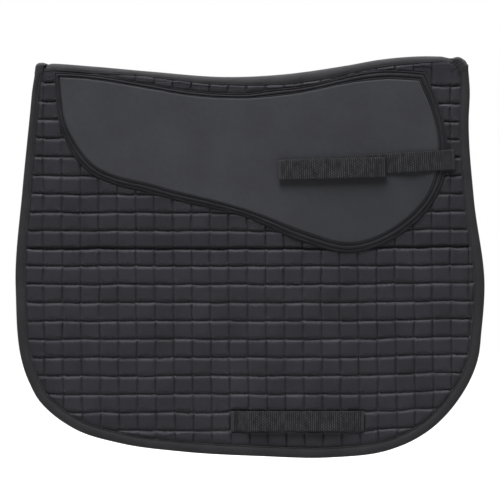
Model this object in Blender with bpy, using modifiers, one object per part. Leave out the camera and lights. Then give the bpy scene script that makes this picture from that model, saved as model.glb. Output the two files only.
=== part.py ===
# Quilted english saddle pad, folded along its spine as it hangs over a rack bar.
# Metres, +Z up. +X runs towards the horse's front and the off (right) side faces -Y.
# The origin lies on the fold's middle plane, level with the lowest point of the spine seam.
# Depths are measured outward from that plane, so a point of the off side has y = -depth.

from math import ceil, cos, floor, pi, radians, sin, tan

import bmesh
import bpy
from mathutils import Matrix, Vector

# Clearances between pieces that lie on each other, and half the gap of the closed fold.
FIT = 0.0003
FOLD_GAP = 0.0002

# Fabric thicknesses.
TAPE = 0.0008
LINING = 0.0008
WADDING = 0.0040
COVER = 0.0010
PUFF = 0.0023
PRESS_STEP = 0.00005
GRIP = 0.0030
GRIP_RISE = 0.0008
WEBBING = 0.0015
HOOK_AND_LOOP = 0.0008
SEAM_TAPE = 0.0018

# Square quilting: the pitch, and where one column and one row of stitching run.
QUILT_PITCH = 0.0254
QUILT_COLUMN_X = -0.0022
QUILT_ROW_Z = -0.0066

# Widths of the bound edges.
SPINE_TAPE_LEG = 0.0080
EDGE_BINDING_LEG = 0.0140
RIDGE_CAP = 0.0150
CAP_GAP = 0.0007
GRIP_BINDING_WIDTH = 0.0074
SEAM_TAPE_DEPTH = 0.0180
SEAM_TAPE_SINK = 0.0015

# Finished outline. Places along the back are shares of the pad's length, forward or back from the
# origin, and places down the flaps are shares of its drop. Heights along the ridge are in metres,
# because the taped ridge keeps its shape when the flaps are cut longer or shorter.
PAD_LENGTH = 0.6477
PAD_DROP = 0.5243
FRONT_CORNER = (0.4670, 0.0290)
REAR_CORNER = (-0.4593, 0.0195)
FRONT_CORNER_RADIUS = 0.0100
REAR_CORNER_RADIUS = 0.0055
WITHERS_HEIGHT = 0.0293

RIDGE_STATIONS = (
    (-0.3406, 0.0156),
    (-0.2135, 0.0084),
    (-0.0463, FIT + TAPE),
    (0.0758, 0.0050),
    (0.2040, 0.0165),
    (0.2841, 0.0254),
    (0.3641, WITHERS_HEIGHT),
)
FRONT_STATIONS = (
    (0.4687, -0.0315),
    (0.4664, -0.1106),
    (0.4777, -0.3216),
    (0.5002, -0.5531),
    (0.4860, -0.7437),
)
HEM_STATIONS = (
    (0.4437, -0.8491),
    (0.3804, -0.9283),
    (0.2954, -0.9809),
    (0.1718, -1.0000),
    (-0.1484, -0.9842),
    (-0.2765, -0.9626),
    (-0.3725, -0.9258),
    (-0.4303, -0.8758),
    (-0.4729, -0.7963),
)
REAR_STATIONS = (
    (-0.4998, -0.5531),
    (-0.4856, -0.2953),
    (-0.4643, -0.0315),
)

# Grip panel outline, under its binding, in the same terms: its top edge runs with the ridge, and
# its front and swept lower edge lie on the flap.
GRIP_REAR_CORNER = (-0.4166, 0.0078)
GRIP_FRONT_CORNER = (0.3687, 0.0023)
GRIP_TOP_STATIONS = (
    (-0.3451, 0.0048),
    (-0.2084, -0.0092),
    (-0.1241, -0.0181),
    (-0.0003, -0.0215),
    (0.0767, -0.0170),
    (0.2368, 0.0018),
    (0.2890, 0.0048),
)
GRIP_LOWER_STATIONS = (
    (0.4025, -0.0925),
    (0.4149, -0.1900),
    (0.3914, -0.3056),
    (0.3125, -0.4032),
    (0.2186, -0.4455),
    (0.1152, -0.4171),
    (-0.0037, -0.3612),
    (-0.1962, -0.2975),
    (-0.3500, -0.2304),
    (-0.3983, -0.1347),
    (-0.4153, -0.0223),
)

# Billet strap: it is sewn down over the grip panel's front edge, runs back from its hinge line,
# folds, and its tail returns.
STRAP_WIDTH = 0.0280
STRAP_HINGE_INSET = 0.0045
STRAP_HINGE_Z = -0.1141
STRAP_SEWN_LENGTH = 0.0199
STRAP_LENGTH = 0.2211
STRAP_SLOPE = radians(3.5)
TAIL_LENGTH = 0.1458
TAIL_SLOPE = radians(1.6)
LOOP_TAPE_LENGTH = 0.1100
HOOK_TAPE_LENGTH = 0.0700
CLOSURE_WIDTH = 0.0240
CLOSURE_INSET = 0.0080
STRAP_AXIS_LIFT = 0.00015
WEB_GAP = 0.0004

# Girth loop: a level webbing keeper with both ends turned under and sewn. Its middle is placed as
# a share of the pad's length.
GIRTH_LOOP_MIDDLE = 0.0993
GIRTH_LOOP_LENGTH = 0.1812
GIRTH_LOOP_ABOVE_HEM = 0.0501
GIRTH_LOOP_WIDTH = 0.0280
GIRTH_LOOP_TURN = 0.0120
GIRTH_LOOP_RAMP = 0.0220
GIRTH_LOOP_ROOM = 0.0045

# Spacing of the points along curved edges.
EDGE_STEP = 0.022
RIDGE_STEP = 0.026
GRIP_STEP = 0.020
CORNER_STEPS = 4
FOLD_STEPS = 10
TURN_STEPS = 6
RAMP_STEPS = 6
CUT_MARGIN = 0.0020
WELD_DISTANCE = 0.00001

# Depths of the layers, from the fold outward.
LINING_IN = FOLD_GAP + TAPE + FIT
LINING_OUT = LINING_IN + LINING
WADDING_IN = LINING_OUT + FIT
WADDING_OUT = WADDING_IN + WADDING
COVER_IN = WADDING_OUT + FIT
SEAM_LEVEL = COVER_IN + COVER
PUFF_TOP = SEAM_LEVEL + PUFF
PRESSED_LEVEL = SEAM_LEVEL + PRESS_STEP
TRIM_IN = PRESSED_LEVEL + FIT
TRIM_OUT = TRIM_IN + TAPE
GRIP_OUT = TRIM_IN + GRIP
GRIP_BINDING_IN = GRIP_OUT + FIT
GRIP_FIELD_OUT = GRIP_OUT + GRIP_RISE
STRAP_IN = max(GRIP_BINDING_IN + TAPE, GRIP_FIELD_OUT) + FIT
STRAP_OUT = STRAP_IN + WEBBING
LOOP_TAPE_IN = STRAP_OUT + FIT
LOOP_TAPE_OUT = LOOP_TAPE_IN + HOOK_AND_LOOP
HOOK_TAPE_IN = LOOP_TAPE_OUT + FIT
HOOK_TAPE_OUT = HOOK_TAPE_IN + HOOK_AND_LOOP
TAIL_IN = HOOK_TAPE_OUT + FIT
TAIL_OUT = TAIL_IN + WEBBING

# Raw edge of the layers inside the binding.
RAW_INSET = TAPE + FIT
FOLD_AXIS_Z = WITHERS_HEIGHT
TAIL_AXIS_Z = STRAP_HINGE_Z - STRAP_LENGTH * tan(STRAP_SLOPE)
GIRTH_LOOP_REAR_X = GIRTH_LOOP_MIDDLE * PAD_LENGTH - GIRTH_LOOP_LENGTH / 2
GIRTH_LOOP_Z = GIRTH_LOOP_ABOVE_HEM - PAD_DROP


def clear_scene():
    for obj in list(bpy.data.objects):
        bpy.data.objects.remove(obj, do_unlink=True)


def new_collection(name):
    collection = bpy.data.collections.new(name)
    bpy.context.scene.collection.children.link(collection)
    return collection


def new_material(name, colour, roughness, metallic=0.0):
    material = bpy.data.materials.new(name)
    material.use_nodes = True
    shader = material.node_tree.nodes["Principled BSDF"]
    shader.inputs["Base Color"].default_value = (*colour, 1.0)
    shader.inputs["Roughness"].default_value = roughness
    shader.inputs["Metallic"].default_value = metallic
    return material


def smooth_run(stations, step, end_slope=None):
    """Points along a smooth line through the stations, about a step apart.

    Both ends run along the end slope, where one is given."""
    points = [Vector(station) for station in stations]
    chords = [(b - a).length for a, b in zip(points, points[1:])]
    slopes = []
    for i in range(len(points)):
        if end_slope and i in (0, len(points) - 1):
            slopes.append(Vector(end_slope))
        elif i == 0:
            slopes.append((points[1] - points[0]) / chords[0])
        elif i == len(points) - 1:
            slopes.append((points[-1] - points[-2]) / chords[-1])
        else:
            before = (points[i] - points[i - 1]) / chords[i - 1]
            after = (points[i + 1] - points[i]) / chords[i]
            share = chords[i - 1] / (chords[i - 1] + chords[i])
            slopes.append(before.lerp(after, share))
    line = [points[0]]
    for i, chord in enumerate(chords):
        steps = max(1, round(chord / step))
        for k in range(1, steps + 1):
            t = k / steps
            h0 = 2 * t ** 3 - 3 * t ** 2 + 1
            h1 = t ** 3 - 2 * t ** 2 + t
            h3 = t ** 3 - t ** 2
            start = points[i] * h0 + slopes[i] * (h1 * chord)
            line.append(start + points[i + 1] * (1 - h0) + slopes[i + 1] * (h3 * chord))
    return line


def rounded_corner(before, corner, after, radius):
    """Arc of the given radius that rounds the corner between two neighbours."""
    corner = Vector(corner)
    back = (Vector(before) - corner).normalized()
    ahead = (Vector(after) - corner).normalized()
    half_angle = back.angle(ahead) / 2
    reach = radius / tan(half_angle)
    centre = corner + (back + ahead).normalized() * (radius / sin(half_angle))
    first = corner + back * reach - centre
    turn = first.angle_signed(corner + ahead * reach - centre)
    arc = []
    for k in range(CORNER_STEPS + 1):
        arc.append(centre + Matrix.Rotation(-turn * k / CORNER_STEPS, 2) @ first)
    return arc


def shifted(points, distance, closed=True):
    """A line moved sideways: outward for a positive distance on an outline that runs clockwise."""
    moved = []
    last = len(points) - 1
    for i, point in enumerate(points):
        before = points[i - 1] if i or closed else None
        after = points[(i + 1) % len(points)] if i < last or closed else None
        into = (point - before).normalized() if before else (after - point).normalized()
        out = (after - point).normalized() if after else into
        left_in = Vector((-into.y, into.x))
        left_out = Vector((-out.y, out.x))
        moved.append(point + (left_in + left_out) * (distance / (1 + left_in.dot(left_out))))
    return moved


def graded(stations, drop=1.0):
    """Pattern stations in metres: heights are shares of the drop, where one is given."""
    return [(x * PAD_LENGTH, z * drop) for x, z in stations]


def forward_reach(outline, z):
    """How far forward the outline reaches at a height."""
    reach = []
    for a, b in zip(outline, outline[1:] + outline[:1]):
        if (a.y > z) != (b.y > z):
            reach.append(a.x + (z - a.y) / (b.y - a.y) * (b.x - a.x))
    return max(reach)


def encloses(outline, x, z):
    """True where the point lies inside the outline."""
    inside = False
    for a, b in zip(outline, outline[1:] + outline[:1]):
        if (a.y > z) != (b.y > z) and x < a.x + (z - a.y) / (b.y - a.y) * (b.x - a.x):
            inside = not inside
    return inside


def box_outline(x0, z0, x1, z1):
    return [Vector(p) for p in ((x0, z0), (x0, z1), (x1, z1), (x1, z0))]


def sloped_outline(x0, x1, origin_x, origin_z, slope, width):
    """Webbing seen from the side, with upright ends, whose middle line rises forward by the slope."""
    half = width / (2 * cos(slope))
    z0 = origin_z + (x0 - origin_x) * tan(slope)
    z1 = origin_z + (x1 - origin_x) * tan(slope)
    return [Vector(p) for p in ((x0, z0 - half), (x0, z0 + half), (x1, z1 + half), (x1, z1 - half))]


class Pad:
    """The runs of the finished edge, and the outlines worked out from them."""

    def __init__(self):
        cap = RIDGE_CAP + CAP_GAP
        self.front_corner, self.rear_corner = graded((FRONT_CORNER, REAR_CORNER))
        front_x, front_z = self.front_corner
        rear_x, rear_z = self.rear_corner
        rear_top = (rear_x + cap, rear_z)
        front_top = (front_x - cap, front_z)
        front_edge = (front_x, front_z - cap)
        rear_edge = (rear_x, rear_z - cap)
        ridge_stations = graded(RIDGE_STATIONS)
        self.ridge = smooth_run((rear_top, *ridge_stations, front_top), RIDGE_STEP, (1, 0))
        flap_stations = graded(FRONT_STATIONS + HEM_STATIONS + REAR_STATIONS, PAD_DROP)
        self.edge = smooth_run((front_edge, *flap_stations, rear_edge), EDGE_STEP)
        self.front_arc = rounded_corner(front_top, self.front_corner, front_edge, FRONT_CORNER_RADIUS)
        self.rear_arc = rounded_corner(rear_edge, self.rear_corner, rear_top, REAR_CORNER_RADIUS)
        self.finished = self.ridge + self.front_arc + self.edge + self.rear_arc
        self.edge_start = len(self.ridge) + len(self.front_arc)
        self.raw = shifted(self.finished, -RAW_INSET)
        self.hollow = shifted(self.finished, -TAPE)
        ridge_inside = shifted(self.ridge, -SPINE_TAPE_LEG - RAW_INSET, closed=False)
        edge_inside = shifted(self.edge, -EDGE_BINDING_LEG - RAW_INSET, closed=False)
        self.open_field = ridge_inside + edge_inside
        top_stations = graded((GRIP_REAR_CORNER, *GRIP_TOP_STATIONS, GRIP_FRONT_CORNER))
        top = smooth_run(top_stations, GRIP_STEP)
        lower_stations = graded(GRIP_LOWER_STATIONS, PAD_DROP)
        lower = smooth_run((top_stations[-1], *lower_stations, top_stations[0]), GRIP_STEP)
        self.grip = top[:-1] + lower[:-1]
        self.grip_bed = shifted(self.grip, FIT + TAPE + FIT)
        self.grip_field = shifted(self.grip, -GRIP_BINDING_WIDTH - FIT)
        self.strap_x = forward_reach(self.grip, STRAP_HINGE_Z) - STRAP_HINGE_INSET
        self.tail_x = self.strap_x - STRAP_LENGTH


class Half:
    """One side of the pad: its sign along Y, its name prefix and the hinges that carry its pieces."""

    def __init__(self, prefix, sign, spine):
        self.prefix = prefix
        self.sign = sign
        axis_depth = STRAP_OUT + STRAP_AXIS_LIFT
        self.fold = new_hinge(prefix + "_fold_hinge", (0, 0, FOLD_AXIS_Z), spine)
        strap_place = (pad.strap_x, sign * axis_depth, STRAP_HINGE_Z)
        self.strap = new_hinge(prefix + "_strap_hinge", strap_place, self.fold)
        tail_depth = (STRAP_IN + TAIL_OUT) / 2
        tail_place = (pad.tail_x, sign * tail_depth, TAIL_AXIS_Z)
        self.tail = new_hinge(prefix + "_tail_hinge", tail_place, self.strap)


def new_hinge(name, place, parent=None):
    """An empty on a joint's axis."""
    hinge = bpy.data.objects.new(name, None)
    hinge.empty_display_size = 0.03
    hinge["place"] = place
    if parent is None:
        hinge.location = place
    else:
        hinge.parent = parent
        hinge.location = Vector(place) - Vector(parent["place"])
    parts.objects.link(hinge)
    return hinge


def add_part(obj, hinge, material):
    """Hangs a piece, modelled in world coordinates, on its hinge."""
    obj.parent = hinge
    obj.matrix_parent_inverse = Matrix.Translation(hinge["place"]).inverted()
    obj.data.materials.append(material)
    parts.objects.link(obj)
    return obj


def plate_curve(name, outlines, sign, inner, outer):
    """Filled 2D curve in the side view, extruded between two depths."""
    data = bpy.data.curves.new(name, "CURVE")
    data.dimensions = "2D"
    data.fill_mode = "BOTH"
    data.extrude = (outer - inner) / 2
    for outline in outlines:
        spline = data.splines.new("POLY")
        spline.points.add(len(outline) - 1)
        spline.use_cyclic_u = True
        for point, place in zip(spline.points, outline):
            point.co = (place.x, place.y, 0, 1)
    obj = bpy.data.objects.new(name, data)
    obj.location = (0, sign * (inner + outer) / 2, 0)
    obj.rotation_euler = (pi / 2, 0, 0)
    return obj


def ribbon_curve(name, line, sign, thickness, z0, z1):
    """Upright webbing that follows a line of (x, depth) points, as a filled outline."""
    side_a = shifted(line, thickness / 2, closed=False)
    side_b = shifted(line, -thickness / 2, closed=False)
    data = bpy.data.curves.new(name, "CURVE")
    data.dimensions = "2D"
    data.fill_mode = "BOTH"
    data.extrude = (z1 - z0) / 2
    outline = side_a + side_b[::-1]
    spline = data.splines.new("POLY")
    spline.points.add(len(outline) - 1)
    spline.use_cyclic_u = True
    for point, place in zip(spline.points, outline):
        point.co = (place.x, sign * place.y, 0, 1)
    obj = bpy.data.objects.new(name, data)
    obj.location = (0, 0, (z0 + z1) / 2)
    return obj


def solid_from_curve(curve, name):
    """Turns a plate curve into a closed mesh, which a Boolean can cut or use."""
    cutters.objects.link(curve)
    bpy.context.view_layer.update()
    evaluated = curve.evaluated_get(bpy.context.evaluated_depsgraph_get())
    mesh = bpy.data.meshes.new_from_object(evaluated)
    shape = bmesh.new()
    shape.from_mesh(mesh)
    bmesh.ops.remove_doubles(shape, verts=shape.verts, dist=WELD_DISTANCE)
    bmesh.ops.recalc_face_normals(shape, faces=shape.faces)
    shape.to_mesh(mesh)
    shape.free()
    solid = bpy.data.objects.new(name, mesh)
    solid.matrix_world = curve.matrix_world
    bpy.data.objects.remove(curve, do_unlink=True)
    return solid


def make_cutter(curve):
    """A closed mesh for Booleans, hidden from view."""
    cutter = solid_from_curve(curve, curve.name + "_cutter")
    cutters.objects.link(cutter)
    cutter.hide_render = True
    cutter.display_type = "WIRE"
    return cutter


def add_cut(obj, cutter, operation="DIFFERENCE"):
    modifier = obj.modifiers.new(cutter.name, "BOOLEAN")
    modifier.operation = operation
    modifier.solver = "EXACT"
    modifier.object = cutter


def strip_shell(name, sections, facing, closed=False):
    """Tape laid over rows of points: an open surface, thickened outward.

    Facing is the outward direction of the first face."""
    shape = bmesh.new()
    rows = [[shape.verts.new(point) for point in row] for row in sections]
    pairs = list(zip(rows, rows[1:]))
    if closed:
        pairs.append((rows[-1], rows[0]))
    for row_a, row_b in pairs:
        for k in range(len(row_a) - 1):
            shape.faces.new((row_a[k], row_a[k + 1], row_b[k + 1], row_b[k]))
    shape.normal_update()
    shape.faces.ensure_lookup_table()
    if shape.faces[0].normal.dot(Vector(facing)) < 0:
        bmesh.ops.reverse_faces(shape, faces=shape.faces)
    mesh = bpy.data.meshes.new(name)
    shape.to_mesh(mesh)
    shape.free()
    obj = bpy.data.objects.new(name, mesh)
    thicken = obj.modifiers.new("tape", "SOLIDIFY")
    thicken.thickness = TAPE
    thicken.offset = 1
    thicken.use_even_offset = True
    thicken.use_rim = True
    return obj


def quilt_lines(anchor, low, high):
    """Stitching lines on the quilt's pitch, from just below low to just above high."""
    first = floor((low - anchor) / QUILT_PITCH)
    last = ceil((high - anchor) / QUILT_PITCH)
    return [anchor + QUILT_PITCH * k for k in range(first, last + 1)]


def puffed_block(name, sign, is_puffed):
    """Block of quilting whose cells rise to a crown between the stitching lines."""
    across = [point.x for point in pad.finished]
    down = [point.y for point in pad.finished]
    columns = quilt_lines(QUILT_COLUMN_X, min(across) - FIT, max(across) + FIT)
    rows = quilt_lines(QUILT_ROW_Z, min(down) - FIT, max(down) + FIT)
    shape = bmesh.new()
    bmesh.ops.create_grid(shape, x_segments=len(columns) - 1, y_segments=len(rows) - 1, size=0.5)
    middle = Vector(((columns[0] + columns[-1]) / 2, (rows[0] + rows[-1]) / 2, 0))
    spans = Vector((columns[-1] - columns[0], rows[-1] - rows[0], 1))
    bmesh.ops.scale(shape, vec=spans, verts=shape.verts)
    bmesh.ops.translate(shape, vec=middle, verts=shape.verts)
    cells = []
    for face in shape.faces:
        centre = face.calc_center_median()
        if is_puffed(centre.x, centre.y):
            cells.append(face)
    crowns = bmesh.ops.poke(shape, faces=cells)["verts"]
    bmesh.ops.translate(shape, vec=(0, 0, PUFF), verts=crowns)
    border = [edge for edge in shape.edges if edge.is_boundary]
    skirt = bmesh.ops.extrude_edge_only(shape, edges=border)["geom"]
    low_verts = [item for item in skirt if isinstance(item, bmesh.types.BMVert)]
    bmesh.ops.translate(shape, vec=(0, 0, COVER_IN - SEAM_LEVEL), verts=low_verts)
    low_edges = [edge for edge in shape.edges if edge.is_boundary]
    bmesh.ops.edgeloop_fill(shape, edges=low_edges)
    for vert in shape.verts:
        x, z, rise = vert.co
        vert.co = (x, sign * (SEAM_LEVEL + rise), z)
    bmesh.ops.recalc_face_normals(shape, faces=shape.faces)
    mesh = bpy.data.meshes.new(name)
    shape.to_mesh(mesh)
    shape.free()
    return bpy.data.objects.new(name, mesh)


def make_spine():
    """Tape over the spine, the seam tape inside the fold, and the edge binding's ridge crossings."""
    crown = pad.hollow
    leg = shifted(pad.ridge, -RAW_INSET - SPINE_TAPE_LEG, closed=False)
    rows = []
    for i in range(len(pad.ridge)):
        top = crown[i]
        low = leg[i]
        rows.append((
            (low.x, -TRIM_IN, low.y),
            (top.x, -TRIM_IN, top.y),
            (top.x, TRIM_IN, top.y),
            (low.x, TRIM_IN, low.y),
        ))
    add_part(strip_shell("spine_tape", rows, (0, -1, 0)), spine, binding_black)

    upper = shifted(pad.ridge, -RAW_INSET - SEAM_TAPE_SINK, closed=False)[1:-1]
    lower = shifted(pad.ridge, -RAW_INSET - SEAM_TAPE_SINK - SEAM_TAPE_DEPTH, closed=False)[1:-1]
    half = SEAM_TAPE / 2
    seam_tape = plate_curve("spine_seam_tape", [upper + lower[::-1]], 1, -half, half)
    add_part(seam_tape, spine, lining_black)

    make_ridge_cap("front_ridge_binding", pad.front_corner, pad.front_arc, 1)
    make_ridge_cap("rear_ridge_binding", pad.rear_corner, pad.rear_arc[::-1], -1)


def make_ridge_cap(name, corner, arc, direction):
    """The edge binding where it crosses the ridge: a hood over one top corner of both sides."""
    x, z = corner
    open_x = x - direction * RIDGE_CAP
    open_z = z - RIDGE_CAP
    outline = [Vector((open_x, z))] + arc + [Vector((x, open_z)), Vector((open_x, open_z))]
    hood = solid_from_curve(plate_curve(name + "_outline", [outline], 1, -TRIM_OUT, TRIM_OUT), name)
    past_x = open_x - direction * CUT_MARGIN
    past_z = open_z - CUT_MARGIN
    line = [Vector((past_x, z))] + arc + [Vector((x, past_z))]
    inner = shifted(line, -direction * TAPE, closed=False) + [Vector((past_x, past_z))]
    add_cut(hood, make_cutter(plate_curve(name + "_hollow", [inner], 1, -TRIM_IN, TRIM_IN)))
    add_part(hood, spine, binding_black)


def make_layers(half):
    """Quilted cover, wadding and lining of one side."""
    name = half.prefix
    sign = half.sign
    add_part(plate_curve(name + "_lining", [pad.raw], sign, LINING_IN, LINING_OUT), half.fold, lining_black)
    wadding = plate_curve(name + "_wadding", [pad.raw], sign, WADDING_IN, WADDING_OUT)
    add_part(wadding, half.fold, wadding_grey)

    pockets = girth_loop_pockets()

    def is_puffed(x, z):
        if not encloses(pad.open_field, x, z) or encloses(pad.grip_bed, x, z):
            return False
        return not any(encloses(pocket, x, z) for pocket in pockets)

    cover = puffed_block(name + "_cover", sign, is_puffed)
    top = PUFF_TOP + CUT_MARGIN
    edge_cut = make_cutter(plate_curve(name + "_edge", [pad.raw], sign, COVER_IN - CUT_MARGIN, top))
    add_cut(cover, edge_cut, "INTERSECT")
    around = shifted(pad.finished, CUT_MARGIN)
    rim = plate_curve(name + "_rim", [around, pad.open_field], sign, PRESSED_LEVEL, top)
    add_cut(cover, make_cutter(rim))
    bed = plate_curve(name + "_grip_bed", [pad.grip_bed], sign, PRESSED_LEVEL, top)
    add_cut(cover, make_cutter(bed))
    beds = plate_curve(name + "_loop_beds", pockets, sign, PRESSED_LEVEL, top)
    add_cut(cover, make_cutter(beds))
    add_part(cover, half.fold, quilt_black)


def girth_loop_pockets():
    """Places where the girth loop's sewn ends press the quilting flat."""
    low = GIRTH_LOOP_Z - GIRTH_LOOP_WIDTH / 2 - FIT
    high = GIRTH_LOOP_Z + GIRTH_LOOP_WIDTH / 2 + FIT
    rear = GIRTH_LOOP_REAR_X - FIT
    front = GIRTH_LOOP_REAR_X + GIRTH_LOOP_LENGTH + FIT
    reach = GIRTH_LOOP_TURN + GIRTH_LOOP_RAMP / 2
    return [box_outline(rear, low, rear + reach, high), box_outline(front - reach, low, front, high)]


def make_edge_binding(half):
    """Binding folded over the front edge, the hem and the rear edge, open towards the pad."""
    sign = half.sign
    edge = pad.hollow[pad.edge_start:pad.edge_start + len(pad.edge)]
    leg = shifted(pad.edge, -RAW_INSET - EDGE_BINDING_LEG, closed=False)
    inner = sign * (FOLD_GAP + TAPE)
    outer = sign * TRIM_IN
    rows = []
    for rim, low in zip(edge, leg):
        rows.append((
            (low.x, outer, low.y),
            (rim.x, outer, rim.y),
            (rim.x, inner, rim.y),
            (low.x, inner, low.y),
        ))
    shell = strip_shell(half.prefix + "_edge_binding", rows, (0, sign, 0))
    add_part(shell, half.fold, binding_black)


def make_grip_panel(half):
    """Non-slip panel under the saddle, which stands up inside the tape that binds it all round."""
    name = half.prefix
    sign = half.sign
    outline = plate_curve(name + "_grip_outline", [pad.grip], sign, TRIM_IN, GRIP_FIELD_OUT)
    panel = solid_from_curve(outline, name + "_grip_panel")
    around = shifted(pad.grip, CUT_MARGIN)
    top_of_cut = GRIP_FIELD_OUT + CUT_MARGIN
    rim = plate_curve(name + "_grip_rim", [around, pad.grip_field], sign, GRIP_OUT, top_of_cut)
    add_cut(panel, make_cutter(rim))
    add_part(panel, half.fold, grip_grey)
    skirt = shifted(pad.grip, FIT)
    inside = shifted(pad.grip, -GRIP_BINDING_WIDTH)
    top = sign * GRIP_BINDING_IN
    foot = sign * TRIM_IN
    rows = []
    for rim, low in zip(skirt, inside):
        rows.append((
            (low.x, top, low.y),
            (rim.x, top, rim.y),
            (rim.x, foot, rim.y),
        ))
    shell = strip_shell(name + "_grip_binding", rows, (0, sign, 0), closed=True)
    add_part(shell, half.fold, binding_black)


def half_ring(centre_x, centre_depth, radius, steps):
    """Half circle that opens forward, from its deep side round the back to its shallow side."""
    line = []
    for k in range(steps + 1):
        angle = pi / 2 + pi * k / steps
        line.append(Vector((centre_x + radius * cos(angle), centre_depth + radius * sin(angle))))
    return line


def make_billet_strap(half):
    """Sewn end, strap, folded-back tail and the hook-and-loop tapes that close it."""
    name = half.prefix
    sign = half.sign
    hinge_x = pad.strap_x
    tail_x = pad.tail_x
    hinge_z = STRAP_HINGE_Z
    sewn = sloped_outline(
        hinge_x + WEB_GAP, hinge_x + STRAP_SEWN_LENGTH, hinge_x, hinge_z, STRAP_SLOPE, STRAP_WIDTH
    )
    add_part(plate_curve(name + "_strap_end", [sewn], sign, STRAP_IN, STRAP_OUT), half.fold, webbing_black)

    strap = sloped_outline(
        tail_x + WEB_GAP, hinge_x - WEB_GAP, hinge_x, hinge_z, STRAP_SLOPE, STRAP_WIDTH
    )
    add_part(plate_curve(name + "_billet_strap", [strap], sign, STRAP_IN, STRAP_OUT), half.strap, webbing_black)
    closure_x = tail_x + CLOSURE_INSET
    loop = sloped_outline(
        closure_x, closure_x + LOOP_TAPE_LENGTH, hinge_x, hinge_z, STRAP_SLOPE, CLOSURE_WIDTH
    )
    loop_tape = plate_curve(name + "_loop_tape", [loop], sign, LOOP_TAPE_IN, LOOP_TAPE_OUT)
    add_part(loop_tape, half.strap, closure_black)

    radius = (TAIL_OUT - STRAP_IN - WEBBING) / 2
    bend = half_ring(tail_x, (STRAP_IN + TAIL_OUT) / 2, radius, FOLD_STEPS)
    low = TAIL_AXIS_Z - STRAP_WIDTH / 2
    fold = ribbon_curve(name + "_strap_fold", bend, sign, WEBBING, low, low + STRAP_WIDTH)
    add_part(fold, half.strap, webbing_black)

    tail = sloped_outline(
        tail_x + WEB_GAP, tail_x + TAIL_LENGTH, tail_x, TAIL_AXIS_Z, TAIL_SLOPE, STRAP_WIDTH
    )
    add_part(plate_curve(name + "_strap_tail", [tail], sign, TAIL_IN, TAIL_OUT), half.tail, webbing_black)
    tip_x = tail_x + TAIL_LENGTH - CLOSURE_INSET
    hook = sloped_outline(
        tip_x - HOOK_TAPE_LENGTH, tip_x, tail_x, TAIL_AXIS_Z, TAIL_SLOPE, CLOSURE_WIDTH
    )
    hook_tape = plate_curve(name + "_hook_tape", [hook], sign, HOOK_TAPE_IN, HOOK_TAPE_OUT)
    add_part(hook_tape, half.tail, closure_black)


def girth_loop_line():
    """Rear half of the girth loop in plan: the turned-under end, its fold, and the rise to the middle."""
    ply = WEBBING + FIT
    under = TRIM_IN + WEBBING / 2
    over = under + ply
    raised = PUFF_TOP + GIRTH_LOOP_ROOM + WEBBING / 2
    start = GIRTH_LOOP_REAR_X + WEBBING / 2 + ply / 2
    line = [Vector((GIRTH_LOOP_REAR_X + GIRTH_LOOP_TURN, under))]
    line += half_ring(start, under + ply / 2, ply / 2, TURN_STEPS)[::-1]
    ramp_x = GIRTH_LOOP_REAR_X + GIRTH_LOOP_TURN
    for k in range(RAMP_STEPS + 1):
        t = k / RAMP_STEPS
        rise = (1 - cos(pi * t)) / 2
        line.append(Vector((ramp_x + GIRTH_LOOP_RAMP * t, over + (raised - over) * rise)))
    return line


def make_girth_loop(half):
    rear = girth_loop_line()
    middle = 2 * GIRTH_LOOP_REAR_X + GIRTH_LOOP_LENGTH
    front = [Vector((middle - point.x, point.y)) for point in reversed(rear)]
    low = GIRTH_LOOP_Z - GIRTH_LOOP_WIDTH / 2
    high = GIRTH_LOOP_Z + GIRTH_LOOP_WIDTH / 2
    loop = ribbon_curve(half.prefix + "_girth_loop", rear + front, half.sign, WEBBING, low, high)
    add_part(loop, half.fold, webbing_black)


clear_scene()
parts = new_collection("english_saddle_pad")
cutters = new_collection("cutters")

quilt_black = new_material("quilted_cotton", (0.028, 0.027, 0.032), 0.85)
binding_black = new_material("binding_tape", (0.022, 0.022, 0.024), 0.75)
lining_black = new_material("lining_cotton", (0.030, 0.030, 0.033), 0.90)
wadding_grey = new_material("wadding", (0.55, 0.55, 0.55), 0.95)
grip_grey = new_material("grip_panel", (0.050, 0.053, 0.057), 0.80)
webbing_black = new_material("webbing", (0.026, 0.026, 0.027), 0.80)
closure_black = new_material("hook_and_loop", (0.018, 0.018, 0.018), 0.95)

pad = Pad()
spine = new_hinge("spine", (0, 0, 0))
make_spine()
for half_side in (Half("off", -1, spine), Half("near", 1, spine)):
    make_layers(half_side)
    make_edge_binding(half_side)
    make_grip_panel(half_side)
    make_girth_loop(half_side)
    make_billet_strap(half_side)
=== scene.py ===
# Quilted english saddle pad, folded at its spine and seen from the off side.
# Metres, +Z up. +X runs to the horse's front, the off side faces -Y and the near side +Y.
from math import ceil, cos, floor, pi, radians, sin, sqrt, tan

import bmesh
import bpy
import numpy as np
from mathutils import Matrix, Vector, noise


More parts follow.
